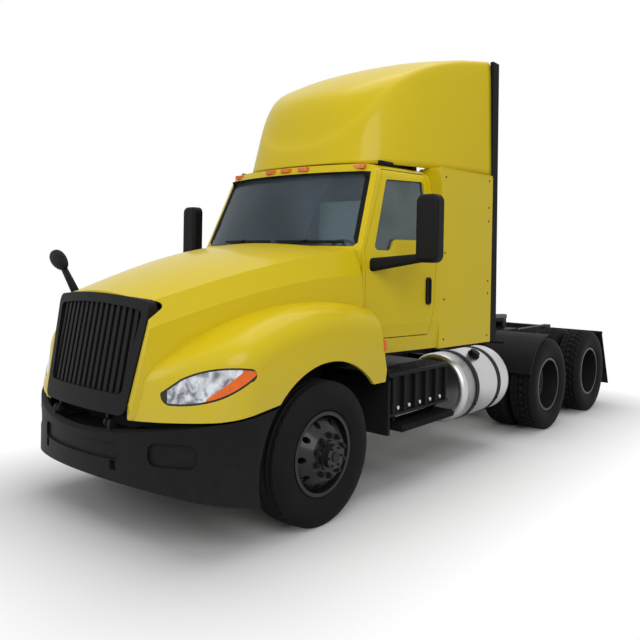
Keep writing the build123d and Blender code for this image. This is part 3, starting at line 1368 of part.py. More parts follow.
with BuildPart() as steps:
    for side in SIDES:
        with Locations(((BOX_FRONT_X + BOX_REAR_X) / 2 - 60, side * (STEP_FACE_Y - STEP_DEPTH / 2), STEP_Z)):
            Box(BOX_FRONT_X - BOX_REAR_X - 120, STEP_DEPTH, STEP_THICK)
        for post_x in (BOX_FRONT_X - 200, BOX_REAR_X + 90):
            with Locations((post_x, side * (STEP_FACE_Y - STEP_DEPTH + 60), (STEP_Z + BOX_BOTTOM) / 2)):
                Box(40, 80, BOX_BOTTOM - STEP_Z)
save(steps.part, "lower_steps")

with BuildPart() as guards:
    for side in SIDES:
        with Locations((BOX_FRONT_X + 16, side * 870, 720)):
            Box(32, 580, 436)
save(guards.part, "splash_guards")

with BuildPart() as quarters:
    for side in SIDES:
        with BuildSketch(Plane.XZ.offset(-side * (QUARTER_INNER_Y + QUARTER_OUTER_Y) / 2 - (QUARTER_OUTER_Y - QUARTER_INNER_Y) / 2)):
            with Locations((DRIVE_X[0], TYRE_RADIUS)):
                Circle(QUARTER_RADIUS + QUARTER_THICK)
                Circle(QUARTER_RADIUS, mode=Mode.SUBTRACT)
            with Locations((DRIVE_X[0] + 500, TYRE_RADIUS + 620)):
                Rectangle(900, 900, mode=Mode.INTERSECT)
        extrude(amount=QUARTER_OUTER_Y - QUARTER_INNER_Y)
        bracket_x = DRIVE_X[0] + 330
        bracket_z = TYRE_RADIUS + sqrt(QUARTER_RADIUS ** 2 - 330 ** 2) + 6
        with Locations((bracket_x, side * (RAIL_FACE_Y + 800) / 2, bracket_z)):
            Cylinder(20, 800 - RAIL_FACE_Y, rotation=(90, 0, 0))
save(quarters.part, "quarter_fenders")

with BuildPart() as flaps:
    for side in SIDES:
        rear_x = -OVERALL_LENGTH / 2
        with BuildSketch(Plane.XZ.offset(-side * 910 - 310)):
            Polygon(
                (rear_x, FLAP_BOTTOM_Z), (rear_x + FLAP_THICK, FLAP_BOTTOM_Z), (rear_x + FLAP_SLANT + FLAP_THICK, FLAP_TOP_Z),
                (rear_x + FLAP_SLANT, FLAP_TOP_Z), align=None,
            )
        extrude(amount=620)
        with Locations((rear_x + FLAP_SLANT, side * (RAIL_FACE_Y + 1220) / 2, FLAP_TOP_Z - 10)):
            Cylinder(24, 1220 - RAIL_FACE_Y, rotation=(90, 0, 0))
save(flaps.part, "mud_flaps")

with BuildPart() as tail_lamps:
    for side in SIDES:
        with Locations((RAIL_REAR_X - 20, side * 270, FRAME_TOP - 135)):
            Cylinder(55, 50, rotation=(0, 90, 0))
save(tail_lamps.part, "tail_lamps")


# Fifth wheel

with BuildPart() as fifth_base:
    with Locations((FIFTH_X, 0, FRAME_TOP + 10)):
        Box(760, RAIL_SPREAD, 20)
    for side in SIDES:
        with BuildSketch(Plane.XZ.offset(-side * FIFTH_PIN_Y - 30)):
            Polygon(
                (FIFTH_X - 130, FRAME_TOP + 20), (FIFTH_X + 130, FRAME_TOP + 20), (FIFTH_X + 44, FIFTH_PIVOT_Z),
                (FIFTH_X - 44, FIFTH_PIVOT_Z), align=None,
            )
            with Locations((FIFTH_X, FIFTH_PIVOT_Z)):
                Circle(44)
        extrude(amount=60)
        with Locations((FIFTH_X, side * (FIFTH_PIN_Y + 30), FIFTH_PIVOT_Z)):
            Cylinder(FIFTH_PIN_RADIUS, 130, rotation=(90, 0, 0))
save(fifth_base.part, "fifth_wheel_base")

with BuildPart() as fifth_plate:
    with BuildSketch(Plane.XY.offset(FIFTH_TOP - FIFTH_THICK)):
        with BuildLine():
            Polyline((FIFTH_X - FIFTH_REAR, -230), (FIFTH_X + 100, -FIFTH_HALF))
            ThreePointArc((FIFTH_X + 100, -FIFTH_HALF), (FIFTH_X + FIFTH_FRONT, 0), (FIFTH_X + 100, FIFTH_HALF))
            Polyline((FIFTH_X + 100, FIFTH_HALF), (FIFTH_X - FIFTH_REAR, 230), (FIFTH_X - FIFTH_REAR, -230))
        make_face()
        Polygon(
            (FIFTH_X, -KINGPIN_SEAT_RADIUS), (FIFTH_X, KINGPIN_SEAT_RADIUS), (FIFTH_X - 150, KINGPIN_SEAT_RADIUS + 6),
            (FIFTH_X - FIFTH_REAR - 20, 170), (FIFTH_X - FIFTH_REAR - 20, -170), (FIFTH_X - 150, -KINGPIN_SEAT_RADIUS - 6),
            align=None, mode=Mode.SUBTRACT,
        )
        with Locations((FIFTH_X, 0)):
            Circle(KINGPIN_SEAT_RADIUS, mode=Mode.SUBTRACT)
    extrude(amount=FIFTH_THICK)
    for side in SIDES:
        with BuildSketch(Plane.XZ.offset(-side * (FIFTH_PIN_Y + 75) - 20)):
            with Locations((FIFTH_X, FIFTH_PIVOT_Z)):
                Circle(42)
            with Locations((FIFTH_X, (FIFTH_PIVOT_Z + FIFTH_TOP - 20) / 2)):
                Rectangle(84, FIFTH_TOP - 20 - FIFTH_PIVOT_Z)
            with Locations((FIFTH_X, FIFTH_PIVOT_Z)):
                Circle(FIFTH_PIN_RADIUS + RUNNING_GAP, mode=Mode.SUBTRACT)
        extrude(amount=40)
save(fifth_plate.part, "fifth_wheel_plate")
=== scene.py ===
import json
import math

import bmesh
import bpy
from mathutils import Matrix, Vector


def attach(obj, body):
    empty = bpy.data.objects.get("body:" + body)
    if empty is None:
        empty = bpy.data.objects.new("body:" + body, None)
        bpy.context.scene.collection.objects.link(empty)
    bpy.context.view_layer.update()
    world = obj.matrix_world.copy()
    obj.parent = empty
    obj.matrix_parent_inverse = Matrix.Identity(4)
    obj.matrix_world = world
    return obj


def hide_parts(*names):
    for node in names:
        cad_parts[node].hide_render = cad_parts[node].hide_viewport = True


bl_info = {
    "name": "Day cab tractor unit looks",
    "version": (1, 0, 0),
    "blender": (4, 5, 0),
    "location": "View3D > Sidebar > Tractor",
    "description": "Paint, rubber, glass and fittings for a packed day cab tractor unit",
    "category": "Object",
}

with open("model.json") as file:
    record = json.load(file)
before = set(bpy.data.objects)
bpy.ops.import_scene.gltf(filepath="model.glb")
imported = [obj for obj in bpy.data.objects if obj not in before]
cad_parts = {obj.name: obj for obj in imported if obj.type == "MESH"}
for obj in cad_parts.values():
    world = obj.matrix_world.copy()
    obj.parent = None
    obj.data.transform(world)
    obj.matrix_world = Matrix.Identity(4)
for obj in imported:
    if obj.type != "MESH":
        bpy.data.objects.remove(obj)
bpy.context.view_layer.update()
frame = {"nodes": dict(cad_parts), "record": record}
NODES = frame["nodes"]

# Axles and wheels, in metres, with x ahead, y to the left and z up
STEER_X = 2.335
DRIVE_AXLES = (("forward", -1.555), ("rear", -2.875))
SIDES = (("left", 1), ("right", -1))
WHEEL_Z = 0.519
STEER_Y = 1.031
DUAL_Y = 0.919
DUAL_HALF = 0.1715
STEER_FACE = 0.165
DRIVE_FACE = 0.014

# The cab's side and windscreen, as the part's source has them
CAB_FRONT_X = STEER_X - 0.650
CAB_BACK_X = STEER_X - 1.600
CAB_HALF = 1.120
CAB_TAPER = 0.155
CAB_BELT = 1.900
CAB_LEAN = (1.120 - 0.985) / (2.720 - 1.900)
SCREEN_RAKE = 0.46
SCREEN_BASE_Z = 1.985
SCREEN_ARC = 2.300
SCREEN_ARC_HALF = 0.950
SCREEN_CORNERS = ((0.915, 2.012), (0.848, 2.644))
# Headlamp unit: middle, direction it faces, width of its dark edge, inner end, direction across its
# slanted corner, and outline arcs in its own plane
LAMP_SPOT = (STEER_X + 0.860, 0.950, 1.100)
LAMP_NORMAL = (0.6198, 0.7848)
LAMP_EDGE = 0.010
LAMP_INNER = -0.283
LAMP_SLOPE = (0.798, 0.602)
LAMP_ARCS = (
    ((-0.275, -0.128), (0.020, -0.082), (0.232, 0.025)),
    ((0.235, 0.104), (0.0, 0.104), (-0.200, 0.034)),
)
DOOR_WINDOW = (
    (0.760, 1.985), (1.000, 2.590), (1.470, 2.605), (1.462, 2.085), (1.010, 2.078), (0.950, 1.985),
)
# Places of the added pieces
SEAT_Y = 0.54
STEP_FACE = 1.120
TANK_Y = 0.870
TANK_Z = 0.690
MIRROR_Y = 1.450
EXTENDER_REAR_X = -0.105
FAIRING_BASE = 2.742
# Finish of the added pieces in each material slot
SLOT_FINISH = {
    "body_paint": "yellow_paint",
    "black_plastic": "black_moulding",
    "chassis_paint": "chassis_black",
    "aluminium": "polished_aluminium",
    "rubber": "black_rubber",
    "seat_cloth": "seat_cloth",
    "lamp_amber": "amber_lens",
    "cast_iron": "grey_casting",
}


# Shader maths

def wire_sum(operation, swapped=False):
    """A Python operator that adds one maths node."""
    def join(self, other):
        first, second = (other, self) if swapped else (self, other)
        return self.finish.sum(operation, first, second)
    return join


class Wire:
    """One shader socket that takes part in Python sums."""

    def __init__(self, finish, socket):
        self.finish = finish
        self.socket = socket

    __add__ = wire_sum("ADD")
    __radd__ = wire_sum("ADD", swapped=True)
    __sub__ = wire_sum("SUBTRACT")
    __rsub__ = wire_sum("SUBTRACT", swapped=True)
    __mul__ = wire_sum("MULTIPLY")
    __rmul__ = wire_sum("MULTIPLY", swapped=True)
    __pow__ = wire_sum("POWER")
    __gt__ = wire_sum("GREATER_THAN")
    __lt__ = wire_sum("LESS_THAN")


class Finish:
    """A material, or the sky, under construction: every node is added through one method."""

    def __init__(self, name, sky=False):
        self.owner = bpy.data.worlds.new(name) if sky else bpy.data.materials.new(name)
        self.owner.use_nodes = True
        self.tree = self.owner.node_tree
        self.tree.nodes.clear()
        self.output = self.tree.nodes.new("ShaderNodeOutputWorld" if sky else "ShaderNodeOutputMaterial")
        self.place = self.node("ShaderNodeTexCoord", output="Generated" if sky else "Object")

    def node(self, kind, settings=None, sockets=None, output=0):
        made = self.tree.nodes.new(kind)
        for key, value in (settings or {}).items():
            setattr(made, key, value)
        for key, value in (sockets or {}).items():
            if isinstance(value, Wire):
                self.tree.links.new(value.socket, made.inputs[key])
            else:
                made.inputs[key].default_value = value
        return Wire(self, made.outputs[output])

    def sum(self, operation, first, second):
        return self.node("ShaderNodeMath", {"operation": operation}, {0: first, 1: second})

    def size_of(self, value):
        return self.node("ShaderNodeMath", {"operation": "ABSOLUTE"}, {0: value})

    def sine(self, value):
        return self.node("ShaderNodeMath", {"operation": "SINE"}, {0: value})

    def split(self):
        parts = self.node("ShaderNodeSeparateXYZ", sockets={0: self.place})
        outputs = parts.socket.node.outputs
        return [Wire(self, outputs[index]) for index in range(3)]

    def stretch(self, scale):
        return self.node("ShaderNodeMapping", sockets={"Vector": self.place, "Scale": scale})

    def noise(self, scale, detail, **more):
        sockets = {"Vector": self.place, "Scale": scale, "Detail": detail, "Roughness": 0.55, **more}
        return self.node("ShaderNodeTexNoise", sockets=sockets)

    def seen(self):
        """1 on rays from the camera, straight, mirrored or through glass, and 0 on all others."""
        outputs = self.node("ShaderNodeLightPath").socket.node.outputs
        kinds = ("Is Camera Ray", "Is Glossy Ray", "Is Transmission Ray")
        camera, glossy, through = (Wire(self, outputs[kind]) for kind in kinds)
        return self.ramp(camera + glossy + through, 0.0, 0.5)

    def ramp(self, value, low, high):
        return self.node(
            "ShaderNodeMapRange", {"clamp": True},
            {"Value": value, "From Min": low, "From Max": high, "To Min": 0.0, "To Max": 1.0},
        )

    def blend(self, factor, first, second):
        return self.node("ShaderNodeMix", {"data_type": "RGBA"}, {0: factor, 6: first, 7: second}, output=2)

    def shade(self, factor, colour, low, high):
        """A colour between two brightnesses of itself."""
        return self.blend(factor, scaled(colour, low), scaled(colour, high))

    def mix(self, factor, first, second):
        return self.node("ShaderNodeMixShader", sockets={0: factor, 1: first, 2: second})

    def bump(self, height, strength, distance):
        sockets = {"Height": height, "Strength": strength, "Distance": distance}
        return self.node("ShaderNodeBump", sockets=sockets)

    def surface(self, sockets):
        return self.node("ShaderNodeBsdfPrincipled", sockets=sockets)

    def done(self, shader):
        self.tree.links.new(shader.socket, self.output.inputs["Surface"])
        return self.owner

    def coat(self, sockets):
        return self.done(self.surface(sockets))


def scaled(colour, factor):
    return (colour[0] * factor, colour[1] * factor, colour[2] * factor, 1.0)


# Finishes

def make_gloss_paint(name, colour):
    finish = Finish(name)
    height = finish.split()[2]
    broad = finish.noise(0.7, 2.0)
    speck = finish.noise(260.0, 2.0)
    dust = finish.noise(9.0, 5.0) * finish.ramp(height, 1.35, 0.75) * 0.35
    tint = finish.shade(broad, colour, 0.93, 1.05)
    base = finish.blend(dust, tint, (0.36, 0.32, 0.22, 1))
    return finish.coat({
        "Base Color": base,
        "Roughness": 0.36 + 0.08 * broad + 0.25 * dust,
        "Coat Weight": 0.22,
        "Coat Roughness": 0.10,
        "Specular IOR Level": 0.12,
        "Normal": finish.bump(speck, 0.05, 0.0006),
    })


def make_grained_plastic(name, colour, roughness=0.52, grain=420.0):
    finish = Finish(name)
    height = finish.split()[2]
    leather = finish.noise(grain, 3.0)
    broad = finish.noise(2.4, 3.0)
    dust = finish.noise(14.0, 4.0) * finish.ramp(height, 1.0, 0.3) * 0.3
    clean = finish.shade(broad, colour, 0.8, 1.25)
    base = finish.blend(dust, clean, (0.05, 0.046, 0.041, 1))
    return finish.coat({
        "Base Color": base,
        "Roughness": roughness + 0.12 * leather + 0.15 * dust,
        "Specular IOR Level": 0.12,
        "Normal": finish.bump(leather, 0.22, 0.0012),
    })


def make_enamel(name, colour, roughness, metallic=0.0, coat=0.0, sheen=0.15):
    finish = Finish(name)
    broad = finish.noise(5.0, 4.0)
    fine = finish.noise(90.0, 4.0)
    height = finish.split()[2]
    grime = fine * finish.ramp(height, 1.1, 0.2) * 0.3
    clean = finish.shade(broad, colour, 0.8, 1.2)
    base = finish.blend(grime, clean, (0.05, 0.046, 0.04, 1))
    return finish.coat({
        "Base Color": base,
        "Specular IOR Level": sheen,
        "Roughness": roughness + 0.14 * broad + 0.2 * grime,
        "Metallic": metallic,
        "Coat Weight": coat,
        "Coat Roughness": 0.08,
        "Normal": finish.bump(fine, 0.1, 0.001),
    })


def make_tyre_rubber(name, centre_x):
    finish = Finish(name)
    along, _, height = finish.split()
    dx = along - centre_x
    dz = height - WHEEL_Z
    radius = (dx * dx + dz * dz) ** 0.5
    rings = finish.sine(radius * 700.0)
    wall = finish.ramp(radius, 0.505, 0.49)
    fine = finish.noise(160.0, 4.0)
    broad = finish.noise(6.0, 4.0)
    base = finish.blend(broad, (0.0055, 0.0055, 0.006, 1), (0.0115, 0.011, 0.011, 1))
    return finish.coat({
        "Base Color": base,
        "Roughness": 0.66 + 0.16 * fine,
        "Specular IOR Level": 0.10,
        "Normal": finish.bump(rings * wall * 0.3 + fine, 0.25, 0.0015),
    })


def make_bright_metal(name, colour, roughness, brush):
    finish = Finish(name)
    lines = finish.noise(1.0, 4.0, Vector=finish.stretch(brush))
    broad = finish.noise(3.0, 3.0)
    return finish.coat({
        "Base Color": finish.shade(broad, colour, 0.86, 1.05),
        "Metallic": 1.0,
        "Roughness": roughness + 0.16 * lines,
        "Normal": finish.bump(lines, 0.06, 0.0006),
    })


def make_pane(name, tint, clear, sheen):
    finish = Finish(name)
    glass_streaks = finish.noise(2.0, 3.0)
    edge = finish.node("ShaderNodeLayerWeight", sockets={"Blend": 0.35})
    through = finish.node("ShaderNodeBsdfTransparent", sockets={"Color": scaled(tint, 1.0)})
    # Painted reflection: the glossy layer's grey base colour, given as sheen, and its lighter and darker
    # streaks stand in for what the glass reflects
    gloss = finish.surface({
        "Base Color": finish.shade(finish.ramp(glass_streaks, 0.35, 0.65), sheen, 0.8, 1.25),
        "Roughness": 0.03 + 0.03 * glass_streaks,
        "Specular IOR Level": 0.35,
    })
    return finish.done(finish.mix(clear + edge * 0.4, through, gloss))


def circle_through(first, second, third):
    """Centre and radius of the circle through three points."""
    rows = (first, second, third)
    squares = [across * across + up * up for across, up in rows]
    (ax, ay), (bx, by), (cx, cy) = rows
    double = 2 * (ax * (by - cy) + bx * (cy - ay) + cx * (ay - by))
    across = (squares[0] * (by - cy) + squares[1] * (cy - ay) + squares[2] * (ay - by)) / double
    up = (squares[0] * (cx - bx) + squares[1] * (ax - cx) + squares[2] * (bx - ax)) / double
    return across, up, math.hypot(ax - across, ay - up)


def lamp_bezel(finish):
    """1 on the dark edge of a headlamp unit and 0 on its lens."""
    along, across, height = finish.split()
    reach = finish.size_of(across) - LAMP_SPOT[1]
    outward = reach * LAMP_NORMAL[0] - (along - LAMP_SPOT[0]) * LAMP_NORMAL[1]
    rise = height - LAMP_SPOT[2]
    edge = outward < LAMP_INNER
    for corners in LAMP_ARCS:
        centre_out, centre_up, radius = circle_through(*corners)
        dx = outward - centre_out
        dy = rise - centre_up
        edge = finish.sum("MAXIMUM", edge, (dx * dx + dy * dy) ** 0.5 > radius - LAMP_EDGE)
    corner_out, corner_up = LAMP_ARCS[1][2]
    slope = (rise - corner_up) * LAMP_SLOPE[0] - (outward - corner_out) * LAMP_SLOPE[1]
    return finish.sum("MAXIMUM", edge, slope > -LAMP_EDGE)


def make_lens(name, colour, see_through, bezel=False):
    finish = Finish(name)
    along, across = finish.split()[:2]
    flutes = finish.sine((along + across) * 520.0)
    depth = finish.noise(30.0, 3.0)
    base = finish.shade(depth, colour, 0.7, 1.25)
    if bezel:
        base = finish.blend(lamp_bezel(finish), base, (0.006, 0.006, 0.006, 1))
    return finish.coat({
        "Base Color": base,
        "Roughness": 0.12 + 0.06 * depth,
        "Alpha": see_through,
        "Specular IOR Level": 0.25,
        "Coat Weight": 0.25,
        "Coat Roughness": 0.05,
        "Normal": finish.bump(flutes, 0.12, 0.001),
    })


def make_reflector_lens(name):
    finish = Finish(name)
    bowls = finish.noise(10.0, 2.0, Roughness=0.5, Distortion=1.6)
    # Painted reflections: the reflector's colour runs by noise from dark to bright, standing in for glints
    # and shade in its bowls
    glints = finish.ramp(bowls, 0.36, 0.64)
    metal = finish.blend(glints, (0.17, 0.18, 0.20, 1), (0.70, 0.73, 0.78, 1))
    bezel = lamp_bezel(finish)
    return finish.coat({
        "Base Color": finish.blend(bezel, metal, (0.006, 0.006, 0.007, 1)),
        "Metallic": 0.4 - bezel * 0.4,
        "Roughness": 0.12 + 0.14 * glints,
        "Specular IOR Level": 0.3,
        "Coat Weight": 0.4,
        "Coat Roughness": 0.03,
        "Normal": finish.bump(bowls, 0.35, 0.012),
    })


def make_mirror_glass(name):
    finish = Finish(name)
    glass_streaks = finish.noise(6.0, 3.0)
    return finish.coat({
        "Base Color": finish.blend(glass_streaks, (0.80, 0.82, 0.84, 1), (0.88, 0.89, 0.90, 1)),
        "Metallic": 1.0,
        "Roughness": 0.02 + 0.03 * glass_streaks,
    })


def make_cloth(name, colour):
    finish = Finish(name)
    along, across, height = finish.split()
    warp = finish.sine((along + height) * 1900.0)
    weft = finish.sine(across * 1900.0)
    weave = warp * weft
    worn = finish.noise(5.0, 4.0)
    return finish.coat({
        "Base Color": finish.shade(worn, colour, 0.75, 1.3),
        "Roughness": 0.86,
        "Sheen Weight": 0.25,
        "Normal": finish.bump(weave + worn, 0.2, 0.0015),
    })


# Settings that a user would change

class TruckColours(bpy.types.PropertyGroup):
    """Colours of the painted and moulded pieces."""

    body: bpy.props.FloatVectorProperty(
        name="Body paint", description="Gloss paint of cab, hood and fairing", subtype="COLOR",
        size=3, min=0, max=1, default=(0.585, 0.445, 0.005),
    )
    moulding: bpy.props.FloatVectorProperty(
        name="Moulding", description="Bumper, grille and mirror plastic", subtype="COLOR",
        size=3, min=0, max=1, default=(0.0050, 0.0050, 0.0054),
    )
    amber: bpy.props.FloatVectorProperty(
        name="Amber lens", description="Turn and marker lamps", subtype="COLOR",
        size=3, min=0, max=1, default=(0.78, 0.13, 0.006),
    )


class StageSettings(bpy.types.PropertyGroup):
    """Camera and light of the stage."""

    camera_place: bpy.props.FloatVectorProperty(
        name="Camera", description="Camera position", subtype="TRANSLATION", unit="LENGTH", size=3,
        default=(6.0118, 4.2555, 1.9079),
    )
    lens: bpy.props.FloatProperty(
        name="Lens", description="Focal length in millimetres", default=38.18, min=10, max=200,
    )
    sky: bpy.props.FloatProperty(
        name="Sky", description="Strength of the even light all round", default=0.5, min=0, max=3,
    )
    key: bpy.props.FloatProperty(
        name="Key", description="Power of the large soft lamp", subtype="POWER", unit="POWER",
        default=400.0, min=0, max=9000,
    )


def add_object(name, data):
    made = bpy.data.objects.new(name, data)
    bpy.context.scene.collection.objects.link(made)
    return made


def add_mesh(name, bm, material, smooth=False):
    mesh = bpy.data.meshes.new(name)
    bm.to_mesh(mesh)
    bm.free()
    for face in mesh.polygons:
        face.use_smooth = smooth
    mesh.materials.append(material)
    return add_object(name, mesh)


def finish_object(name, bm, slot, body="chassis", finish=None, smooth=False):
    """Turns a mesh into a piece on a body; the slot says its finish unless another one is named."""
    bmesh.ops.recalc_face_normals(bm, faces=bm.faces)
    piece = add_mesh(name, bm, bpy.data.materials[finish or SLOT_FINISH[slot]], smooth)
    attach(piece, body)
    return piece


def round_off(piece, levels):
    layer = piece.modifiers.new("rounding", "SUBSURF")
    layer.levels = levels
    layer.render_levels = levels
    return layer


# Mesh helpers

def screen_point(across, height, proud=0.0):
    """A point on the windscreen, proud of the glass by a given distance along the truck."""
    bow = math.sqrt(SCREEN_ARC ** 2 - across ** 2) - math.sqrt(SCREEN_ARC ** 2 - SCREEN_ARC_HALF ** 2)
    return Vector((CAB_FRONT_X - SCREEN_RAKE * (height - SCREEN_BASE_Z) + bow + proud, across, height))


def skin_y(along, height):
    """Half width of the cab's side, which tapers to the front and leans in above the belt."""
    return CAB_HALF - CAB_TAPER * (along - CAB_BACK_X) - CAB_LEAN * max(0.0, height - CAB_BELT)


def face_towards(axis, place, track="Z"):
    return Matrix.Translation(place) @ Vector(axis).to_track_quat(track, "Y").to_matrix().to_4x4()


def edges_of(verts):
    return {side for vert in verts for side in vert.link_edges}


def soften(bm, edges, offset):
    bmesh.ops.bevel(
        bm, geom=list(edges), offset=offset, offset_type="OFFSET", segments=2, profile=0.5,
        affect="EDGES", material=-1, clamp_overlap=True,
    )


def add_cube(bm, place):
    made = bmesh.ops.create_cube(bm, size=1.0)
    bmesh.ops.transform(bm, matrix=place, verts=made["verts"])
    return made["verts"]


def add_bar(bm, start, end, width, depth, edge=0.0):
    axis = Vector(end) - Vector(start)
    turn = axis.to_track_quat("X", "Z").to_matrix().to_4x4()
    middle = (Vector(start) + Vector(end)) / 2
    size = Matrix.Diagonal((axis.length, width, depth, 1))
    verts = add_cube(bm, Matrix.Translation(middle) @ turn @ size)
    if edge:
        soften(bm, edges_of(verts), edge)


def add_block(bm, low, high, edge=0.0, lean=0.0):
    """A box from corner to corner; lean moves its top across."""
    size = Vector(high) - Vector(low)
    middle = (Vector(low) + Vector(high)) / 2
    verts = add_cube(bm, Matrix.Translation(middle) @ Matrix.Diagonal((*size, 1)))
    upper = [vert for vert in verts if vert.co.z > middle.z]
    bmesh.ops.translate(bm, vec=(0, lean, 0), verts=upper)
    if edge:
        soften(bm, edges_of(verts), edge)


def add_drum(bm, centre, axis, radius, depth, segments=20, edge=0.0, far_radius=None):
    made = bmesh.ops.create_cone(
        bm, cap_ends=True, segments=segments, radius1=radius,
        radius2=radius if far_radius is None else far_radius, depth=depth,
    )
    bmesh.ops.transform(bm, matrix=face_towards(axis, centre), verts=made["verts"])
    if edge:
        rims = edges_of(made["verts"])
        soften(bm, [side for side in rims if any(len(face.verts) > 4 for face in side.link_faces)], edge)


def add_spun(bm, section, centre, steps, axis=(0, 1, 0)):
    """Spins a half section, given as (along the axis, radius), about an axis through a centre."""
    axis = Vector(axis).normalized()
    out = Vector((0, 0, 1)) if abs(axis.z) < 0.5 else Vector((1, 0, 0))
    verts = [bm.verts.new(axis * along + out * radius) for along, radius in section]
    edges = [bm.edges.new(pair) for pair in zip(verts, verts[1:])]
    before = set(bm.verts)
    bmesh.ops.spin(
        bm, geom=verts + edges, cent=(0, 0, 0), axis=axis, angle=math.tau, steps=steps,
        use_merge=True, use_duplicate=False,
    )
    made = verts + [vert for vert in bm.verts if vert not in before]
    made = [vert for vert in made if vert.is_valid]
    bmesh.ops.translate(bm, verts=made, vec=Vector(centre))
    return made


def push_out(bm, faces, offset):
    """Extrudes faces and moves what was made."""
    grown = bmesh.ops.extrude_face_region(bm, geom=faces)
    moved = [item for item in grown["geom"] if isinstance(item, bmesh.types.BMVert)]
    bmesh.ops.translate(bm, verts=moved, vec=offset)


def inset_rim(bm, faces, width):
    """The frame of new faces along the inside of a region's edge."""
    made = bmesh.ops.inset_region(bm, faces=faces, thickness=width, use_boundary=True, use_even_offset=True)
    return made["faces"]


def add_ring(bm, corners, width, thick, outward):
    """A wall along a flat outline, meant as a frame: the new face has no normal, so width has no effect."""
    face = bm.faces.new([bm.verts.new(corner) for corner in corners])
    rim = inset_rim(bm, [face], width)
    bmesh.ops.delete(bm, geom=[face], context="FACES_ONLY")
    push_out(bm, rim, Vector(outward).normalized() * thick)


class TRUCK_OT_stage(bpy.types.Operator):
    """Camera, floor, lamps and sky"""

    bl_idname = "truck.stage"
    bl_label = "Stage"

    white = (1, 1, 1, 1)
    # Half length and half width of the floor that shows the shadow in full; there the floor's grey colour
    # is a painted shadow, added to the cast one
    shade_half = (3.1, 0.8)
    shade_fade = (0.15, 1.5)
    floor_half = 45
    lamp_aim = Vector((0.3, 0, 1.4))

    def execute(self, context):
        settings = context.scene.truck_stage
        scene = context.scene
        scene.view_settings.view_transform = "Standard"
        camera_data = bpy.data.cameras.new("camera")
        camera = add_object("camera", camera_data)
        camera_data.lens = settings.lens
        camera_data.sensor_width = 36
        camera_data.shift_x = -0.0136
        camera_data.shift_y = -0.0854
        right = Vector((-0.643514, 0.765237, 0.017373))
        up = Vector((0.003755, -0.019541, 0.999802))
        turn = Matrix((right, up, right.cross(up))).transposed().to_4x4()
        camera.matrix_world = Matrix.Translation(settings.camera_place) @ turn
        scene.camera = camera
        self.make_floor()
        self.make_lamps(settings)
        self.make_sky(scene, settings)
        return {"FINISHED"}

    def make_floor(self):
        finish = Finish("floor_white_with_painted_shadow")
        along, across = finish.split()[:2]
        past_x = finish.sum("MAXIMUM", finish.size_of(along) - self.shade_half[0], 0.0)
        past_y = finish.sum("MAXIMUM", finish.size_of(across) - self.shade_half[1], 0.0)
        reach = (past_x * past_x + past_y * past_y) ** 0.5
        white = finish.node("ShaderNodeEmission", sockets={"Color": self.white, "Strength": 1.0})
        # Painted shadow: near the truck the floor is grey, darker than the white beyond, besides taking the
        # cast shadow
        painted_shadow_floor = finish.surface({
            "Base Color": (0.55, 0.55, 0.55, 1), "Roughness": 0.9, "Specular IOR Level": 0.1,
        })
        fade = finish.ramp(reach, *self.shade_fade) * finish.seen()
        bm = bmesh.new()
        bmesh.ops.create_grid(bm, x_segments=1, y_segments=1, size=self.floor_half)
        floor = add_mesh("floor", bm, finish.done(finish.mix(fade, painted_shadow_floor, white)))

    def make_lamps(self, settings):
        rows = (
            ("lamp_key", (6.5, 7.0, 6.0), 6.5, 1.0),
            ("lamp_top", (-0.5, 0.5, 9.5), 8.0, 0.6),
            ("lamp_front", (9.5, -4.0, 4.5), 5.0, 0.45),
        )
        for name, place, size, share in rows:
            data = bpy.data.lights.new(name, "AREA")
            data.shape = "DISK"
            data.size = size
            data.energy = settings.key * share
            lamp = add_object(name, data)
            lamp.matrix_world = face_towards(self.lamp_aim - Vector(place), place, "-Z")

    def make_sky(self, scene, settings):
        finish = Finish("sky", sky=True)
        rise = finish.ramp(finish.split()[2], 0.0, 0.7)
        low, high, white = (
            finish.node("ShaderNodeBackground", sockets={"Color": self.white, "Strength": strength})
            for strength in (settings.sky * 0.25, settings.sky * 1.3, 1.0)
        )
        scene.world = finish.done(finish.mix(finish.seen(), finish.mix(rise, low, high), white))


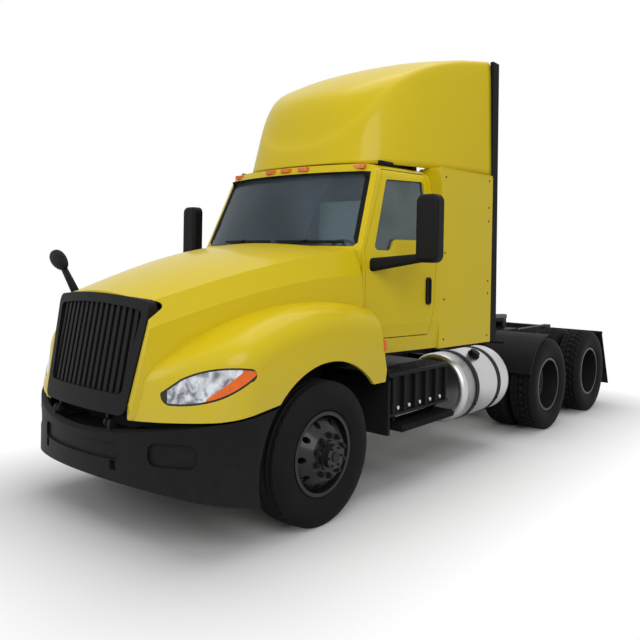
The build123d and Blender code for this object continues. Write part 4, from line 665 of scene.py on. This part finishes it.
class TRUCK_OT_finishes(bpy.types.Operator):
    """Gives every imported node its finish"""

    bl_idname = "truck.finishes"
    bl_label = "Finishes"

    def execute(self, context):
        colours = context.scene.truck_colours
        finishes = {
            "body_paint": make_gloss_paint("yellow_paint", colours.body),
            "black_plastic": make_grained_plastic("black_moulding", colours.moulding),
            "chassis_paint": make_enamel("chassis_black", (0.009, 0.009, 0.0095), 0.5),
            "wheel_paint": make_enamel("wheel_black", (0.009, 0.009, 0.0095), 0.32, coat=0.2, sheen=0.2),
            # The windscreen's last colour is a painted reflection, the blue-grey of its glossy layer
            "glass": make_pane("tinted_pane", (0.70, 0.78, 0.78), 0.32, (0.085, 0.11, 0.14)),
            "aluminium": make_bright_metal("polished_aluminium", (0.55, 0.55, 0.55), 0.26, (8, 220, 220)),
            "lamp_clear": make_reflector_lens("clear_lens"),
            "lamp_amber": make_lens("amber_lens", colours.amber, 0.92),
            "lamp_red": make_lens("red_lens", (0.42, 0.008, 0.008), 0.95),
            "rubber": make_grained_plastic("black_rubber", (0.006, 0.006, 0.0065), 0.7, 150.0),
            "seat_cloth": make_cloth("seat_cloth", (0.045, 0.045, 0.05)),
            "cast_iron": make_enamel("grey_casting", (0.035, 0.035, 0.036), 0.6, 0.3),
            "tyre": make_tyre_rubber("tyre_rubber_steer", STEER_X),
        }
        make_mirror_glass("mirror_silver")
        for row in frame["record"]["subparts"]:
            node = NODES[row["node"]]
            node.data.materials.clear()
            node.data.materials.append(finishes[row["material_slot"]])
        NODES["turn_lamps"].data.materials[0] = make_lens("turn_lens", colours.amber, 1.0, bezel=True)
        # The door glass's last colour is a painted reflection, the grey slate of its glossy layer
        side_pane = make_pane("side_pane", (0.60, 0.68, 0.68), 0.50, (0.15, 0.18, 0.19))
        for side, _ in SIDES:
            NODES["door_glass_" + side].data.materials[0] = side_pane
        for axle, centre_x in DRIVE_AXLES:
            rubber = make_tyre_rubber("tyre_rubber_" + axle, centre_x)
            for side, _ in SIDES:
                NODES["tyres_" + axle + "_" + side].data.materials[0] = rubber
        return {"FINISHED"}


class TRUCK_OT_tyres(bpy.types.Operator):
    """Tyres with tread and beads in place of the plain tyre solids"""

    bl_idname = "truck.tyres"
    bl_label = "Tyres"

    spin_steps = 120
    tread_radius = 0.5115
    shoulder_y = 0.085
    rib_y = 0.04
    shallow = 0.0035
    deep = 0.011
    slot_edge = 0.003

    def execute(self, context):
        for side, sign in SIDES:
            self.make(
                "tread_steer_" + side, STEER_X, (sign * STEER_Y,), "steer", "steer_wheel_" + side,
                "tyre_steer_" + side,
            )
            for axle, centre_x in DRIVE_AXLES:
                rows = (sign * (DUAL_Y - DUAL_HALF), sign * (DUAL_Y + DUAL_HALF))
                self.make(
                    "tread_" + axle + "_" + side, centre_x, rows, axle, "drive_wheels_" + axle + "_" + side,
                    "tyres_" + axle + "_" + side,
                )
        return {"FINISHED"}

    def make(self, name, centre_x, rows, axle, body, node):
        half = (
            (0.0, 0.5185), (0.027, 0.5185), (0.0300, 0.5060), (0.0375, 0.5060), (0.0405, 0.5180),
            (0.071, 0.5175), (0.0740, 0.5055), (0.0810, 0.5055), (0.0840, 0.5165), (0.109, 0.5140),
            (0.1175, 0.5070), (0.1240, 0.4940), (0.1300, 0.4910), (0.1375, 0.4560), (0.1420, 0.4480),
            (0.1440, 0.4050), (0.1395, 0.3560), (0.1290, 0.3260), (0.1275, 0.3190), (0.1140, 0.3060),
            (0.1046, 0.3020), (0.1046, 0.2868),
        )
        section = [(-across, radius) for across, radius in reversed(half[1:])] + list(half)
        bm = bmesh.new()
        for row in rows:
            made = add_spun(bm, section, (centre_x, row, WHEEL_Z), self.spin_steps)
            self.cut_tread(bm, made, centre_x, row, axle)
        piece = finish_object(name, bm, "tyre", body, "tyre_rubber_" + axle, smooth=True)
        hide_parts(node)

    def cut_tread(self, bm, made, centre_x, row, axle):
        bmesh.ops.recalc_face_normals(bm, faces=bm.faces)
        groups = {self.shallow: [], self.deep: []}
        for face in {face for vert in made for face in vert.link_faces}:
            middle = face.calc_center_median()
            across = abs(middle.y - row)
            radius = math.hypot(middle.x - centre_x, middle.z - WHEEL_Z)
            angle = math.degrees(math.atan2(middle.z - WHEEL_Z, middle.x - centre_x))
            step = math.floor(angle / (360 / self.spin_steps))
            if radius < self.tread_radius:
                continue
            shoulder = across > self.shoulder_y
            if shoulder and (step + int(middle.y > row)) % 3 == 0:
                groups[self.shallow if axle == "steer" else self.deep].append(face)
            elif not shoulder and axle != "steer" and (step + int(across > self.rib_y)) % 3 == 1:
                groups[self.deep].append(face)
        for depth, faces in groups.items():
            if faces:
                bmesh.ops.inset_individual(
                    bm, faces=faces, thickness=self.slot_edge, depth=-depth, use_even_offset=True,
                )


class TRUCK_OT_wheel_nuts(bpy.types.Operator):
    """Wheel nuts, studs and hub bolts"""

    bl_idname = "truck.wheel_nuts"
    bl_label = "Wheel nuts"

    studs = 10
    stud_circle = 0.1429
    # Washer, nut and stud end: distance out, radius, depth, corners, softened edge
    stack = (
        (0.003, 0.024, 0.006, 16, 0.0),
        (0.017, 0.0195, 0.024, 6, 0.0025),
        (0.033, 0.0105, 0.016, 10, 0.002),
    )

    def execute(self, context):
        make_enamel("nut_grey", (0.022, 0.022, 0.024), 0.34, 0.6)
        for side, sign in SIDES:
            bm = bmesh.new()
            self.add_nuts(bm, STEER_X, sign * (STEER_Y + STEER_FACE), sign)
            self.add_hub_ring(bm, STEER_X, sign * (STEER_Y + STEER_FACE + 0.062), sign, 0.066, 6)
            finish_object("nuts_steer_" + side, bm, "wheel_paint", "steer_wheel_" + side, "nut_grey")
            for axle, centre_x in DRIVE_AXLES:
                bm = bmesh.new()
                self.add_nuts(bm, centre_x, sign * (DUAL_Y + DRIVE_FACE), sign)
                self.add_hub_ring(bm, centre_x, sign * (DUAL_Y + 0.165), sign, 0.083, 8)
                wheel = axle + "_" + side
                finish_object("nuts_" + wheel, bm, "wheel_paint", "drive_wheels_" + wheel, "nut_grey")
        return {"FINISHED"}

    def add_nuts(self, bm, centre_x, face_y, sign):
        out = Vector((0, sign, 0))
        for index in range(self.studs):
            angle = math.tau * (index + 0.5) / self.studs
            rise = self.stud_circle * math.sin(angle)
            spot = Vector((centre_x + self.stud_circle * math.cos(angle), face_y, WHEEL_Z + rise))
            for lift, radius, depth, corners, edge in self.stack:
                add_drum(bm, spot + out * lift, out, radius, depth, corners, edge)

    def add_hub_ring(self, bm, centre_x, face_y, sign, reach, count):
        out = Vector((0, sign, 0))
        centre = Vector((centre_x, face_y, WHEEL_Z))
        add_drum(bm, centre + out * 0.004, out, reach * 0.55, 0.010, 28, 0.003)
        for index in range(count):
            angle = math.tau * index / count
            spot = centre + Vector((reach * math.cos(angle), 0, reach * math.sin(angle)))
            add_drum(bm, spot + out * 0.005, out, 0.0095, 0.012, 6, 0.0015)


class TRUCK_OT_window_seals(bpy.types.Operator):
    """Black edges of windscreen and door windows"""

    bl_idname = "truck.window_seals"
    bl_label = "Window seals"

    door_seal = (0.020, 0.011)
    screen_width = 0.046

    def execute(self, context):
        self.make_screen()
        for side, sign in SIDES:
            bm = bmesh.new()
            corners = []
            for back, height in DOOR_WINDOW:
                along = STEER_X - back
                corners.append((along, sign * (skin_y(along, height) - 0.004), height))
            add_ring(bm, corners, *self.door_seal, (-CAB_TAPER, -sign, -CAB_LEAN * sign))
            finish_object("window_seal_" + side, bm, "rubber", "door_" + side)
        return {"FINISHED"}

    def make_screen(self):
        bm = bmesh.new()
        bmesh.ops.create_grid(bm, x_segments=28, y_segments=10, size=0.5)
        (low_half, low_z), (high_half, high_z) = SCREEN_CORNERS
        for vert in bm.verts:
            share = vert.co.y + 0.5
            half = low_half + (high_half - low_half) * share
            vert.co = screen_point(2 * vert.co.x * half, low_z + (high_z - low_z) * share, -0.012)
        panes = list(bm.faces)
        rim = inset_rim(bm, panes, self.screen_width)
        bmesh.ops.delete(bm, geom=panes, context="FACES")
        push_out(bm, rim, (0.008, 0, 0.003))
        finish_object("screen_seal", bm, "rubber")


class TRUCK_OT_wipers(bpy.types.Operator):
    """Two parked wipers with arms and blades"""

    bl_idname = "truck.wipers"
    bl_label = "Wipers"

    stations = 6

    def execute(self, context):
        bm = bmesh.new()
        for pivot, tip in ((0.20, 0.83), (-0.50, 0.13)):
            foot = screen_point(pivot, 2.000, 0.022)
            elbow = screen_point(pivot + 0.30, 2.060, 0.030)
            add_drum(bm, foot, (0.9, 0, 0.42), 0.022, 0.030, 18, 0.004)
            add_bar(bm, foot, elbow, 0.024, 0.012, 0.004)
            blade = [
                screen_point(pivot - 0.02 + (tip - pivot) * index / self.stations, 2.048, 0.014)
                for index in range(self.stations + 1)
            ]
            for start, end in zip(blade, blade[1:]):
                add_bar(bm, start, end, 0.012, 0.022, 0.003)
        finish_object("wipers", bm, "black_plastic", smooth=True)
        return {"FINISHED"}


class TRUCK_OT_mirror_glass(bpy.types.Operator):
    """Flat and wide-angle mirror glass behind each door mirror"""

    bl_idname = "truck.mirror_glass"
    bl_label = "Mirror glass"

    def execute(self, context):
        back = STEER_X - 0.865 - 0.055
        for side, sign in SIDES:
            bm = bmesh.new()
            for middle, height in ((2.238, 0.330), (1.978, 0.125)):
                made = bmesh.ops.create_grid(bm, x_segments=1, y_segments=1, size=0.5)
                spot = Matrix.Translation((back - 0.003, sign * MIRROR_Y, middle))
                place = spot @ Matrix.Rotation(math.pi / 2, 4, "Y")
                bmesh.ops.transform(
                    bm, matrix=place @ Matrix.Diagonal((height, 0.160, 1, 1)), verts=made["verts"],
                )
                corner = bmesh.ops.bevel(
                    bm, geom=made["verts"], offset=0.03, offset_type="OFFSET", segments=5, profile=0.5,
                    affect="VERTICES", material=-1,
                )
                push_out(bm, corner["faces"], (0.004, 0, 0))
            finish_object("mirror_glass_" + side, bm, "glass", "door_" + side, "mirror_silver")
        return {"FINISHED"}


class TRUCK_OT_seats(bpy.types.Operator):
    """Padded seats with their pedestals"""

    bl_idname = "truck.seats"
    bl_label = "Seats"

    def execute(self, context):
        seat_x = CAB_BACK_X + 0.340
        hinge_x = seat_x - 0.2
        for side, sign in SIDES:
            seat_y = sign * SEAT_Y
            pads = (
                ("cushion", (seat_x + 0.01, seat_y, 1.606), (0.44, 0.47, 0.115), 2),
                ("backrest", (seat_x - 0.212, seat_y, 1.900), (0.088, 0.45, 0.520), 0),
                ("headrest", (seat_x - 0.212, seat_y, 2.232), (0.085, 0.28, 0.120), 0),
            )
            for part, centre, size, crown_axis in pads:
                piece = self.make_pad("seat_" + part + "_" + side, centre, size, crown_axis)
                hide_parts("seats")
            bm = bmesh.new()
            add_bar(bm, (seat_x, seat_y - 0.15, 1.40), (seat_x, seat_y + 0.15, 1.40), 0.32, 0.26, 0.03)
            add_bar(bm, (seat_x - 0.17, seat_y, 1.225), (seat_x + 0.17, seat_y, 1.225), 0.32, 0.045, 0.012)
            add_bar(bm, (hinge_x, seat_y - 0.2, 1.53), (hinge_x, seat_y + 0.2, 1.53), 0.03, 0.03, 0.01)
            piece = finish_object("seat_pedestal_" + side, bm, "black_plastic", smooth=True)
            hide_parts("seats")
        return {"FINISHED"}

    def make_pad(self, name, centre, size, crown_axis):
        bm = bmesh.new()
        bmesh.ops.create_cube(bm, size=1.0)
        bmesh.ops.subdivide_edges(bm, edges=bm.edges, cuts=6, use_grid_fill=True)
        others = [axis for axis in range(3) if axis != crown_axis]
        for vert in bm.verts:
            spread = [1 - (2 * vert.co[axis]) ** 2 for axis in others]
            swell = 0.72 + 0.28 * max(0.0, spread[0]) ** 0.5 * max(0.0, spread[1]) ** 0.5
            pull = 1 - 0.05 * max(0.0, 1 - (2 * vert.co[crown_axis]) ** 2)
            in_channel = abs(abs(vert.co[1]) - 1 / 3) < 0.01 and abs(vert.co[crown_axis]) > 0.49
            channel = 0.93 if in_channel else 1.0
            vert.co[crown_axis] *= swell * channel
            for axis in others:
                vert.co[axis] *= pull
        bmesh.ops.scale(bm, vec=size, verts=bm.verts)
        bmesh.ops.translate(bm, vec=centre, verts=bm.verts)
        piece = finish_object(name, bm, "seat_cloth", smooth=True)
        round_off(piece, 2)
        return piece


class TRUCK_OT_steps(bpy.types.Operator):
    """Ribs, knobs and treads of step boxes and lower steps"""

    bl_idname = "truck.steps"
    bl_label = "Steps"

    ribs = 6
    rib_pitch = 0.164
    bump_rows = 5
    bump_columns = 17
    treads = 26
    tread_pitch = 0.0315

    def execute(self, context):
        front, rear = STEER_X - 0.800, STEER_X - 1.740
        for side, sign in SIDES:
            bm = bmesh.new()
            knobs = bmesh.new()
            face = sign * STEP_FACE
            rib_y = face + sign * 0.010
            rail_y = face + sign * 0.012
            for index in range(self.ribs):
                along = front - 0.06 - index * self.rib_pitch
                add_bar(bm, (along, rib_y, 0.665), (along, rib_y, 0.950), 0.052, 0.024, 0.008)
                if index < self.ribs - 1:
                    spot = Vector((along - self.rib_pitch / 2, rail_y, 0.700))
                    add_drum(knobs, spot, (0, sign, 0), 0.017, 0.026, 16, 0.004)
            add_bar(bm, (front, rail_y, 0.972), (rear, rail_y, 0.972), 0.030, 0.030, 0.010)
            add_bar(bm, (front, rib_y, 0.648), (rear, rib_y, 0.648), 0.024, 0.024, 0.006)
            for row in range(self.bump_rows):
                for column in range(self.bump_columns):
                    along = front - 0.05 - column * 0.0525 - 0.026 * (row % 2)
                    spot = (along, sign * (0.90 + row * 0.048), 0.988)
                    add_drum(bm, spot, (0, 0, 1), 0.017, 0.010, 8, far_radius=0.012)
            for column in range(self.treads):
                along = STEER_X - 0.920 - 0.016 - column * self.tread_pitch
                add_bar(bm, (along, sign * 0.985, 0.562), (along, sign * 1.190, 0.562), 0.013, 0.014)
                lip_y = sign * 1.203
                add_bar(bm, (along, lip_y, 0.517), (along - 0.018, lip_y, 0.553), 0.010, 0.010)
            finish_object("step_treads_" + side, bm, "black_plastic")
            finish_object("step_knobs_" + side, knobs, "aluminium")
        return {"FINISHED"}


class TRUCK_OT_tanks(bpy.types.Operator):
    """Tanks with dished ends, weld beads and caps"""

    bl_idname = "truck.tanks"
    bl_label = "Fuel tanks"

    def execute(self, context):
        middle = STEER_X - (1.950 + 2.905) / 2
        end = (
            (0.4690, 0.0), (0.4690, 0.235), (0.4760, 0.255), (0.4775, 0.275), (0.4745, 0.296),
            (0.4660, 0.312), (0.4520, 0.323), (0.4350, 0.3278), (0.4270, 0.3284), (0.4250, 0.3300),
            (0.4190, 0.3300), (0.4170, 0.3286),
        )
        section = [(-along, radius) for along, radius in end] + list(reversed(end))
        for side, sign in SIDES:
            bm = bmesh.new()
            add_spun(bm, section, (middle, sign * TANK_Y, TANK_Z), 96, axis=(1, 0, 0))
            bmesh.ops.remove_doubles(bm, verts=bm.verts, dist=0.0002)
            piece = finish_object("fuel_tank_" + side, bm, "aluminium", smooth=True)
            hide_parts("fuel_tanks")
            caps = bmesh.new()
            out = Vector((0, sign * 0.5, 0.866))
            spot = Vector((middle + 0.02, sign * TANK_Y, TANK_Z)) + out * 0.330
            add_drum(caps, spot + out * 0.008, out, 0.062, 0.018, 32, 0.004)
            add_drum(caps, spot + out * 0.030, out, 0.052, 0.034, 12, 0.006)
            for strap in (STEER_X - 2.200, STEER_X - 2.650):
                low = Vector((0, sign * 0.90, -0.43)).normalized()
                seat = Vector((strap, sign * TANK_Y, TANK_Z)) + low * 0.338
                add_drum(caps, seat, low, 0.013, 0.016, 6, 0.002)
            finish_object("tank_caps_" + side, caps, "black_plastic")
        return {"FINISHED"}


class TRUCK_OT_small_fittings(bpy.types.Operator):
    """Screws of the side extenders, side marker lamps and frame bolts"""

    bl_idname = "truck.small_fittings"
    bl_label = "Small fittings"

    # Place along the truck of each row of screws in a side extender, and their heights
    screws = (
        (-0.045, (2.690, 2.430, 2.300, 1.720, 1.600, 1.190)),
        (0.665, (2.660, 1.980, 1.560, 1.200)),
    )
    bolts = 30
    bolt_pitch = 0.215
    bolt_heights = (0.815, 0.955)
    rail_face = 0.434

    def execute(self, context):
        for side, sign in SIDES:
            bm = bmesh.new()
            for along, heights in self.screws:
                reach = 1.195 - (along - EXTENDER_REAR_X) * (1.195 - 1.118) / 0.840
                for height in heights:
                    spot = (along, sign * (reach + 0.001), height)
                    add_drum(bm, spot, (0, sign, 0), 0.011, 0.006, 14, 0.002, 0.008)
            finish_object("extender_screws_" + side, bm, "chassis_paint")
            bm = bmesh.new()
            add_bar(bm, (1.632, sign * 1.153, 1.190), (1.632, sign * 1.153, 1.276), 0.052, 0.030, 0.008)
            finish_object("side_marker_" + side, bm, "lamp_amber", "hood", smooth=True)
            bolts = bmesh.new()
            for index in range(self.bolts):
                along = -3.40 + index * self.bolt_pitch
                if abs(along - STEER_X) < 0.3:
                    continue
                for height in self.bolt_heights:
                    spot = (along, sign * self.rail_face, height)
                    add_drum(bolts, spot, (0, sign, 0), 0.016, 0.012, 6, far_radius=0.014)
            finish_object("frame_bolts_" + side, bolts, "chassis_paint")
        return {"FINISHED"}


class TRUCK_OT_fairing(bpy.types.Operator):
    """Roof fairing with a soft wing line, on its two brackets"""

    bl_idname = "truck.fairing"
    bl_label = "Roof fairing"

    # Distance back, half width at the base, how both move per metre of height, direction faced in
    # degrees from straight ahead, height of the wing line or 0 where the wall meets the roof
    columns = (
        (0.836, 0.000, 0.215, 0.000, 0.0, 2.900), (0.852, 0.320, 0.222, -0.020, 10.0, 2.930),
        (0.915, 0.580, 0.235, -0.046, 32.0, 3.060), (1.060, 0.775, 0.245, -0.060, 54.0, 3.380),
        (1.300, 0.915, 0.240, -0.076, 70.0, 0.0), (1.640, 0.995, 0.200, -0.060, 77.0, 0.0),
        (2.040, 1.088, 0.100, -0.045, 77.0, 0.0), (2.440, 1.176, 0.000, -0.025, 77.0, 0.0),
    )
    inner = (
        (1.130, 0.0), (1.150, 0.190), (1.240, 0.330), (1.390, 0.430), (1.610, 0.500), (1.870, 0.540),
        (2.140, 0.570), (2.440, 0.600),
    )
    middle = (1.260, 1.390, 1.530, 1.710, 1.930, 2.170, 2.440)

    def execute(self, context):
        bm = bmesh.new()
        rows = [[bm.verts.new(spot) for spot in self.column(index)] for index in range(len(self.columns))]
        line = [bm.verts.new(self.roof(back, 0.0)) for back in self.middle]
        for first, second in zip(rows, rows[1:]):
            for low in range(len(first) - 1):
                bm.faces.new((first[low], first[low + 1], second[low + 1], second[low]))
        bm.faces.new((rows[0][-1], line[0], rows[1][-1]))
        for index in range(len(line) - 1):
            bm.faces.new((rows[index + 1][-1], line[index], line[index + 1], rows[index + 2][-1]))
        half = bm.verts[:] + bm.edges[:] + bm.faces[:]
        bmesh.ops.mirror(bm, geom=half, matrix=Matrix.Identity(4), merge_dist=0.001, axis="Y")
        shell = finish_object("fairing_shell", bm, "body_paint", smooth=True)
        round_off(shell, 3).boundary_smooth = "PRESERVE_CORNERS"
        wall = shell.modifiers.new("wall", "SOLIDIFY")
        wall.thickness = 0.02
        wall.offset = -1
        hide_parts("roof_fairing")
        self.make_brackets()
        return {"FINISHED"}

    def make_brackets(self):
        bm = bmesh.new()
        for back, half in ((1.170, 0.760), (1.500, 0.900)):
            along = STEER_X - back
            add_block(bm, (along - 0.03, -half, 2.721), (along + 0.03, half, 2.790), 0.008)
        piece = finish_object("fairing_brackets", bm, "chassis_paint")
        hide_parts("roof_fairing")

    def crown(self, back, half):
        ahead = back - 0.8
        return 3.208 + 0.6929 * ahead - 0.2376 * ahead * (back - 1.5) - 0.13 * (half / 1.4) ** 2

    def roof(self, back, half):
        return Vector((STEER_X - back, half, self.crown(back, half)))

    def wall_spot(self, index, height, inset=0.0):
        back, half, slide, pull, facing = self.columns[index][:5]
        rise = height - FAIRING_BASE
        turn = math.radians(facing)
        along = STEER_X - back - slide * rise - inset * math.cos(turn)
        return Vector((along, max(0.0, half + pull * rise - inset * math.sin(turn)), height))

    def column(self, index):
        wing = self.columns[index][5]
        top = 3.4
        for _ in range(12):
            spot = self.wall_spot(index, top)
            top = self.crown(STEER_X - spot.x, spot.y)
        if wing:
            middle = (FAIRING_BASE + wing) / 2
            upper = ((wing, 0.0), (wing + 0.045, 0.034), (top, 0.034))
        else:
            middle = (FAIRING_BASE + top) / 2
            upper = ((top - 0.11, 0.0), (top - 0.012, 0.012), (top, 0.12))
        rows = ((FAIRING_BASE, 0.0), (middle, 0.0)) + upper
        spots = [self.wall_spot(index, height, inset) for height, inset in rows]
        return spots + [self.roof(*self.inner[index])]


class TRUCK_OT_body_fillers(bpy.types.Operator):
    """Corner plates, rubber edges of the extenders, fairing seals and the panel behind the bumper"""

    bl_idname = "truck.body_fillers"
    bl_label = "Body fillers"

    def execute(self, context):
        for side, sign in SIDES:
            bm = bmesh.new()
            outline = ((1.112, 1.860), (1.112, 2.738), (0.880, 2.738), (0.880, 2.600), (1.040, 1.860))
            corners = [bm.verts.new((0.731, sign * across, height)) for across, height in outline]
            face = bm.faces.new(corners)
            push_out(bm, [face], (-0.024, 0, 0))
            soften(bm, bm.edges[:], 0.004)
            shelf = ((0.729, 0.930), (0.729, 1.116), (-0.103, 1.193), (-0.103, 1.140))
            corners = [bm.verts.new((along, sign * across, 2.7315)) for along, across in shelf]
            face = bm.faces.new(corners)
            push_out(bm, [face], (0, 0, 0.012))
            finish_object("corner_plate_" + side, bm, "body_paint")
            bm = bmesh.new()
            near, far = sorted((sign * 1.157, sign * 1.197))
            add_block(bm, (-0.235, near, 1.124), (EXTENDER_REAR_X, far, 3.870), 0.010, -sign * 0.020)
            piece = finish_object("rubber_edge_" + side, bm, "rubber")
            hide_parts("extender_edges")
        bm = bmesh.new()
        for sign in (1, -1):
            near, far = sorted((sign * 0.835, sign * 0.860))
            add_block(bm, (0.742, near, 2.721), (1.320, far, 2.756), 0.006)
        finish_object("fairing_seals", bm, "rubber")
        bm = bmesh.new()
        add_block(bm, (3.284, -0.880, 0.360), (3.296, 0.880, 0.850), 0.003)
        for across in (-0.66, -0.22, 0.22, 0.66):
            add_block(bm, (3.272, across - 0.02, 0.380), (3.284, across + 0.02, 0.740), 0.003)
        finish_object("bumper_screen", bm, "black_plastic")
        return {"FINISHED"}


class TRUCK_OT_engine_dress(bpy.types.Operator):
    """Cover, manifolds, turbocharger, filters, pulleys and fan of the engine"""

    bl_idname = "truck.engine_dress"
    bl_label = "Engine dress"

    def execute(self, context):
        bm = bmesh.new()
        add_block(bm, (2.000, -0.170, 1.515), (2.880, 0.170, 1.536), 0.008)
        for index in range(8):
            along = 2.050 + index * 0.106
            add_block(bm, (along, -0.150, 1.534), (along + 0.038, 0.150, 1.548), 0.004)
        add_drum(bm, (2.430, -0.350, 1.330), (1, 0, 0), 0.045, 0.860, 24, 0.010)
        add_block(bm, (2.020, 0.275, 1.280), (2.840, 0.365, 1.400), 0.025)
        for index in range(6):
            along = 2.060 + index * 0.148
            add_drum(bm, (along, -0.315, 1.330), (0, 1, 0), 0.034, 0.090, 16)
            add_drum(bm, (along, 0.372, 1.340), (0, 1, 0), 0.016, 0.020, 6, 0.003)
        for along, radius, depth in ((2.390, 0.085, 0.080), (2.450, 0.050, 0.060), (2.510, 0.095, 0.070)):
            add_drum(bm, (along, -0.372, 1.200), (1, 0, 0), radius, depth, 28, 0.012)
        for along in (2.180, 2.340):
            add_drum(bm, (along, 0.335, 1.130), (0, 0, 1), 0.055, 0.200, 24, 0.012)
            add_drum(bm, (along, 0.335, 1.240), (0, 0, 1), 0.030, 0.060, 16)
        pulleys = ((0.0, 0.800, 0.115), (0.0, 1.100, 0.085), (0.170, 1.300, 0.050), (-0.160, 1.280, 0.055))
        for across, height, radius in pulleys:
            add_drum(bm, (2.955, across, height), (1, 0, 0), radius, 0.040, 32, 0.006)
        hub = Vector((3.010, 0.0, 1.240))
        add_drum(bm, (2.985, 0.0, 1.240), (1, 0, 0), 0.060, 0.100, 24, 0.008)
        for index in range(8):
            spoke = Vector((0, math.cos(math.tau * index / 8), math.sin(math.tau * index / 8)))
            add_bar(bm, hub + spoke * 0.05, hub + spoke * 0.25, 0.070, 0.010, 0.003)
        finish_object("engine_dress", bm, "cast_iron")
        return {"FINISHED"}


class TRUCK_OT_hood_mirror(bpy.types.Operator):
    """Rounded hood mirror on its tapered stalk"""

    bl_idname = "truck.hood_mirror"
    bl_label = "Hood mirror"

    def execute(self, context):
        bm = bmesh.new()
        foot = Vector((3.285, -0.538, 1.600))
        head = Vector((3.285, -0.800, 1.862))
        reach = head - foot
        add_drum(bm, foot + reach.normalized() * 0.012, reach, 0.042, 0.030, 24, 0.006, 0.034)
        add_drum(bm, foot + reach * 0.5, reach, 0.031, reach.length, 20, far_radius=0.022)
        made = bmesh.ops.create_uvsphere(bm, u_segments=32, v_segments=20, radius=1.0)
        for vert in made["verts"]:
            if vert.co.x < 0:
                vert.co.x *= 0.45
        place = Matrix.Translation(head) @ Matrix.Rotation(math.radians(-24), 4, "X")
        size = Matrix.Diagonal((0.062, 0.126, 0.070, 1))
        bmesh.ops.transform(bm, matrix=place @ size, verts=made["verts"])
        piece = finish_object("hood_mirror_shell", bm, "black_plastic", "hood", smooth=True)
        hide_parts("hood_mirror")
        return {"FINISHED"}


class TRUCK_PT_sidebar(bpy.types.Panel):
    """Lists the steps and settings"""

    bl_label = "Tractor unit"
    bl_space_type = "VIEW_3D"
    bl_region_type = "UI"
    bl_category = "Tractor"

    def draw(self, context):
        for group in (context.scene.truck_colours, context.scene.truck_stage):
            for name in group.__annotations__:
                self.layout.prop(group, name)
        for step in STEPS:
            self.layout.operator(step.bl_idname)


STEPS = (
    TRUCK_OT_stage, TRUCK_OT_finishes, TRUCK_OT_tyres, TRUCK_OT_wheel_nuts, TRUCK_OT_window_seals,
    TRUCK_OT_wipers, TRUCK_OT_mirror_glass, TRUCK_OT_seats, TRUCK_OT_steps, TRUCK_OT_tanks,
    TRUCK_OT_small_fittings, TRUCK_OT_fairing, TRUCK_OT_body_fillers, TRUCK_OT_engine_dress,
    TRUCK_OT_hood_mirror,
)
CLASSES = (TruckColours, StageSettings) + STEPS + (TRUCK_PT_sidebar,)


def register():
    for made in CLASSES:
        bpy.utils.register_class(made)
    bpy.types.Scene.truck_colours = bpy.props.PointerProperty(type=TruckColours)
    bpy.types.Scene.truck_stage = bpy.props.PointerProperty(type=StageSettings)


def unregister():
    del bpy.types.Scene.truck_stage
    del bpy.types.Scene.truck_colours
    for made in reversed(CLASSES):
        bpy.utils.unregister_class(made)


def main():
    register()
    bpy.ops.truck.stage()
    bpy.ops.truck.finishes()
    bpy.ops.truck.tyres()
    bpy.ops.truck.wheel_nuts()
    bpy.ops.truck.window_seals()
    bpy.ops.truck.wipers()
    bpy.ops.truck.mirror_glass()
    bpy.ops.truck.seats()
    bpy.ops.truck.steps()
    bpy.ops.truck.tanks()
    bpy.ops.truck.small_fittings()
    bpy.ops.truck.fairing()
    bpy.ops.truck.body_fillers()
    bpy.ops.truck.engine_dress()
    bpy.ops.truck.hood_mirror()


if __name__ == "__main__":
    main()
